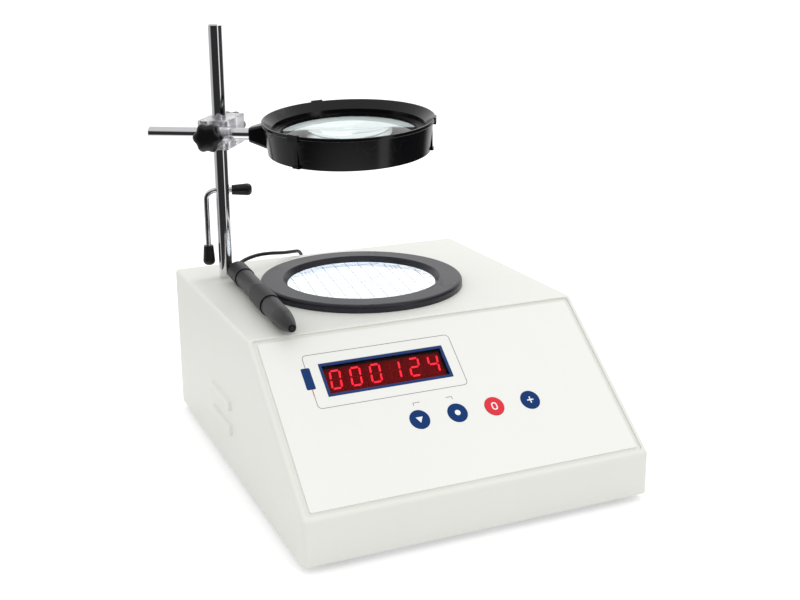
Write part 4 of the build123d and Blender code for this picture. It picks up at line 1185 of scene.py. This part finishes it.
def make_lamps():
    """Two soft round lamps: one overhead to the right and back, and a weaker one in front."""
    target = Vector((0, 0, 0.1))
    for name, spot, power in (("overhead lamp", (0.6, 0.7, 1.5), 5.0), ("front lamp", (0.4, -1.6, 1.2), 3.0)):
        data = bpy.data.lights.new(name, "AREA")
        data.shape = "DISK"
        data.size = LAMP_SIZE
        data.energy = power
        lamp = bpy.data.objects.new(name, data)
        lamp.location = spot
        lamp.rotation_euler = (target - Vector(spot)).to_track_quat("-Z", "Y").to_euler()
        bpy.context.scene.collection.objects.link(lamp)


CEILING_START = (0.35, 0.7)
CEILING_TONE = 0.7
AMBIENT_LEVEL = 1.07
AMBIENT_DROP = 0.2


def make_world():
    """White to the camera and through glass, an even light on the object that falls a little in front,
    and the room's tones in reflections."""
    world = bpy.data.worlds.new("studio")
    bpy.context.scene.world = world
    world.use_nodes = True
    tree = world.node_tree
    background = tree.nodes["Background"]
    path = add_node(tree, "ShaderNodeLightPath")
    coords = add_node(tree, "ShaderNodeTexCoord")
    direction = coords.outputs["Generated"]
    height = add_node(tree, "ShaderNodeSeparateXYZ")
    tree.links.new(direction, height.inputs["Vector"])
    overhead = ease(tree, height.outputs["Z"], *CEILING_START)
    tone = room_tone(tree, direction)
    above = calculate(tree, "MULTIPLY", overhead, CEILING_TONE)
    low = calculate(tree, "MULTIPLY", tone, calculate(tree, "SUBTRACT", 1.0, overhead))
    glossy = calculate(tree, "MULTIPLY", path.outputs["Is Glossy Ray"], calculate(tree, "ADD", above, low))
    facing = add_node(tree, "ShaderNodeVectorMath", operation="DOT_PRODUCT")
    tree.links.new(direction, facing.inputs[0])
    facing.inputs[1].default_value = (-0.25, -0.96, 0.1)
    front = calculate(tree, "MULTIPLY", ease(tree, facing.outputs["Value"], -0.1, 0.95), AMBIENT_DROP)
    level = calculate(tree, "SUBTRACT", AMBIENT_LEVEL, front)
    ambient = calculate(tree, "MULTIPLY", path.outputs["Is Diffuse Ray"], level)
    plain = calculate(tree, "MAXIMUM", path.outputs["Is Camera Ray"], path.outputs["Is Transmission Ray"])
    strength = calculate(tree, "MAXIMUM", calculate(tree, "MAXIMUM", plain, glossy), ambient)
    background.inputs["Color"].default_value = (1, 1, 1, 1)
    tree.links.new(strength, background.inputs["Strength"])


class COUNTER_PT_panel(bpy.types.Panel):
    """Lists the steps that dress the counter"""

    bl_label = "Colony counter"
    bl_idname = "COUNTER_PT_panel"
    bl_space_type = "VIEW_3D"
    bl_region_type = "UI"
    bl_category = "Colony counter"

    def draw(self, context):
        for group in (context.scene.counter_sizes, context.scene.counter_colours):
            box = self.layout.box()
            for name in group.__annotations__:
                box.prop(group, name)
        for step in STEPS:
            self.layout.operator(step.bl_idname)


STEPS = (
    COUNTER_OT_stage,
    COUNTER_OT_finishes,
    COUNTER_OT_cord,
    COUNTER_OT_grid,
    COUNTER_OT_panel_marks,
    COUNTER_OT_digits,
    COUNTER_OT_key_symbols,
    COUNTER_OT_knobs,
)
CLASSES = (CounterSizes, CounterColours, *STEPS, COUNTER_PT_panel)


def register():
    for kind in CLASSES:
        bpy.utils.register_class(kind)
    bpy.types.Scene.counter_sizes = bpy.props.PointerProperty(type=CounterSizes)
    bpy.types.Scene.counter_colours = bpy.props.PointerProperty(type=CounterColours)


def unregister():
    del bpy.types.Scene.counter_sizes
    del bpy.types.Scene.counter_colours
    for kind in reversed(CLASSES):
        bpy.utils.unregister_class(kind)


def main():
    register()
    for step in STEPS:
        group, name = step.bl_idname.split(".")
        getattr(getattr(bpy.ops, group), name)()
    bpy.context.view_layer.update()


if __name__ == "__main__":
    main()
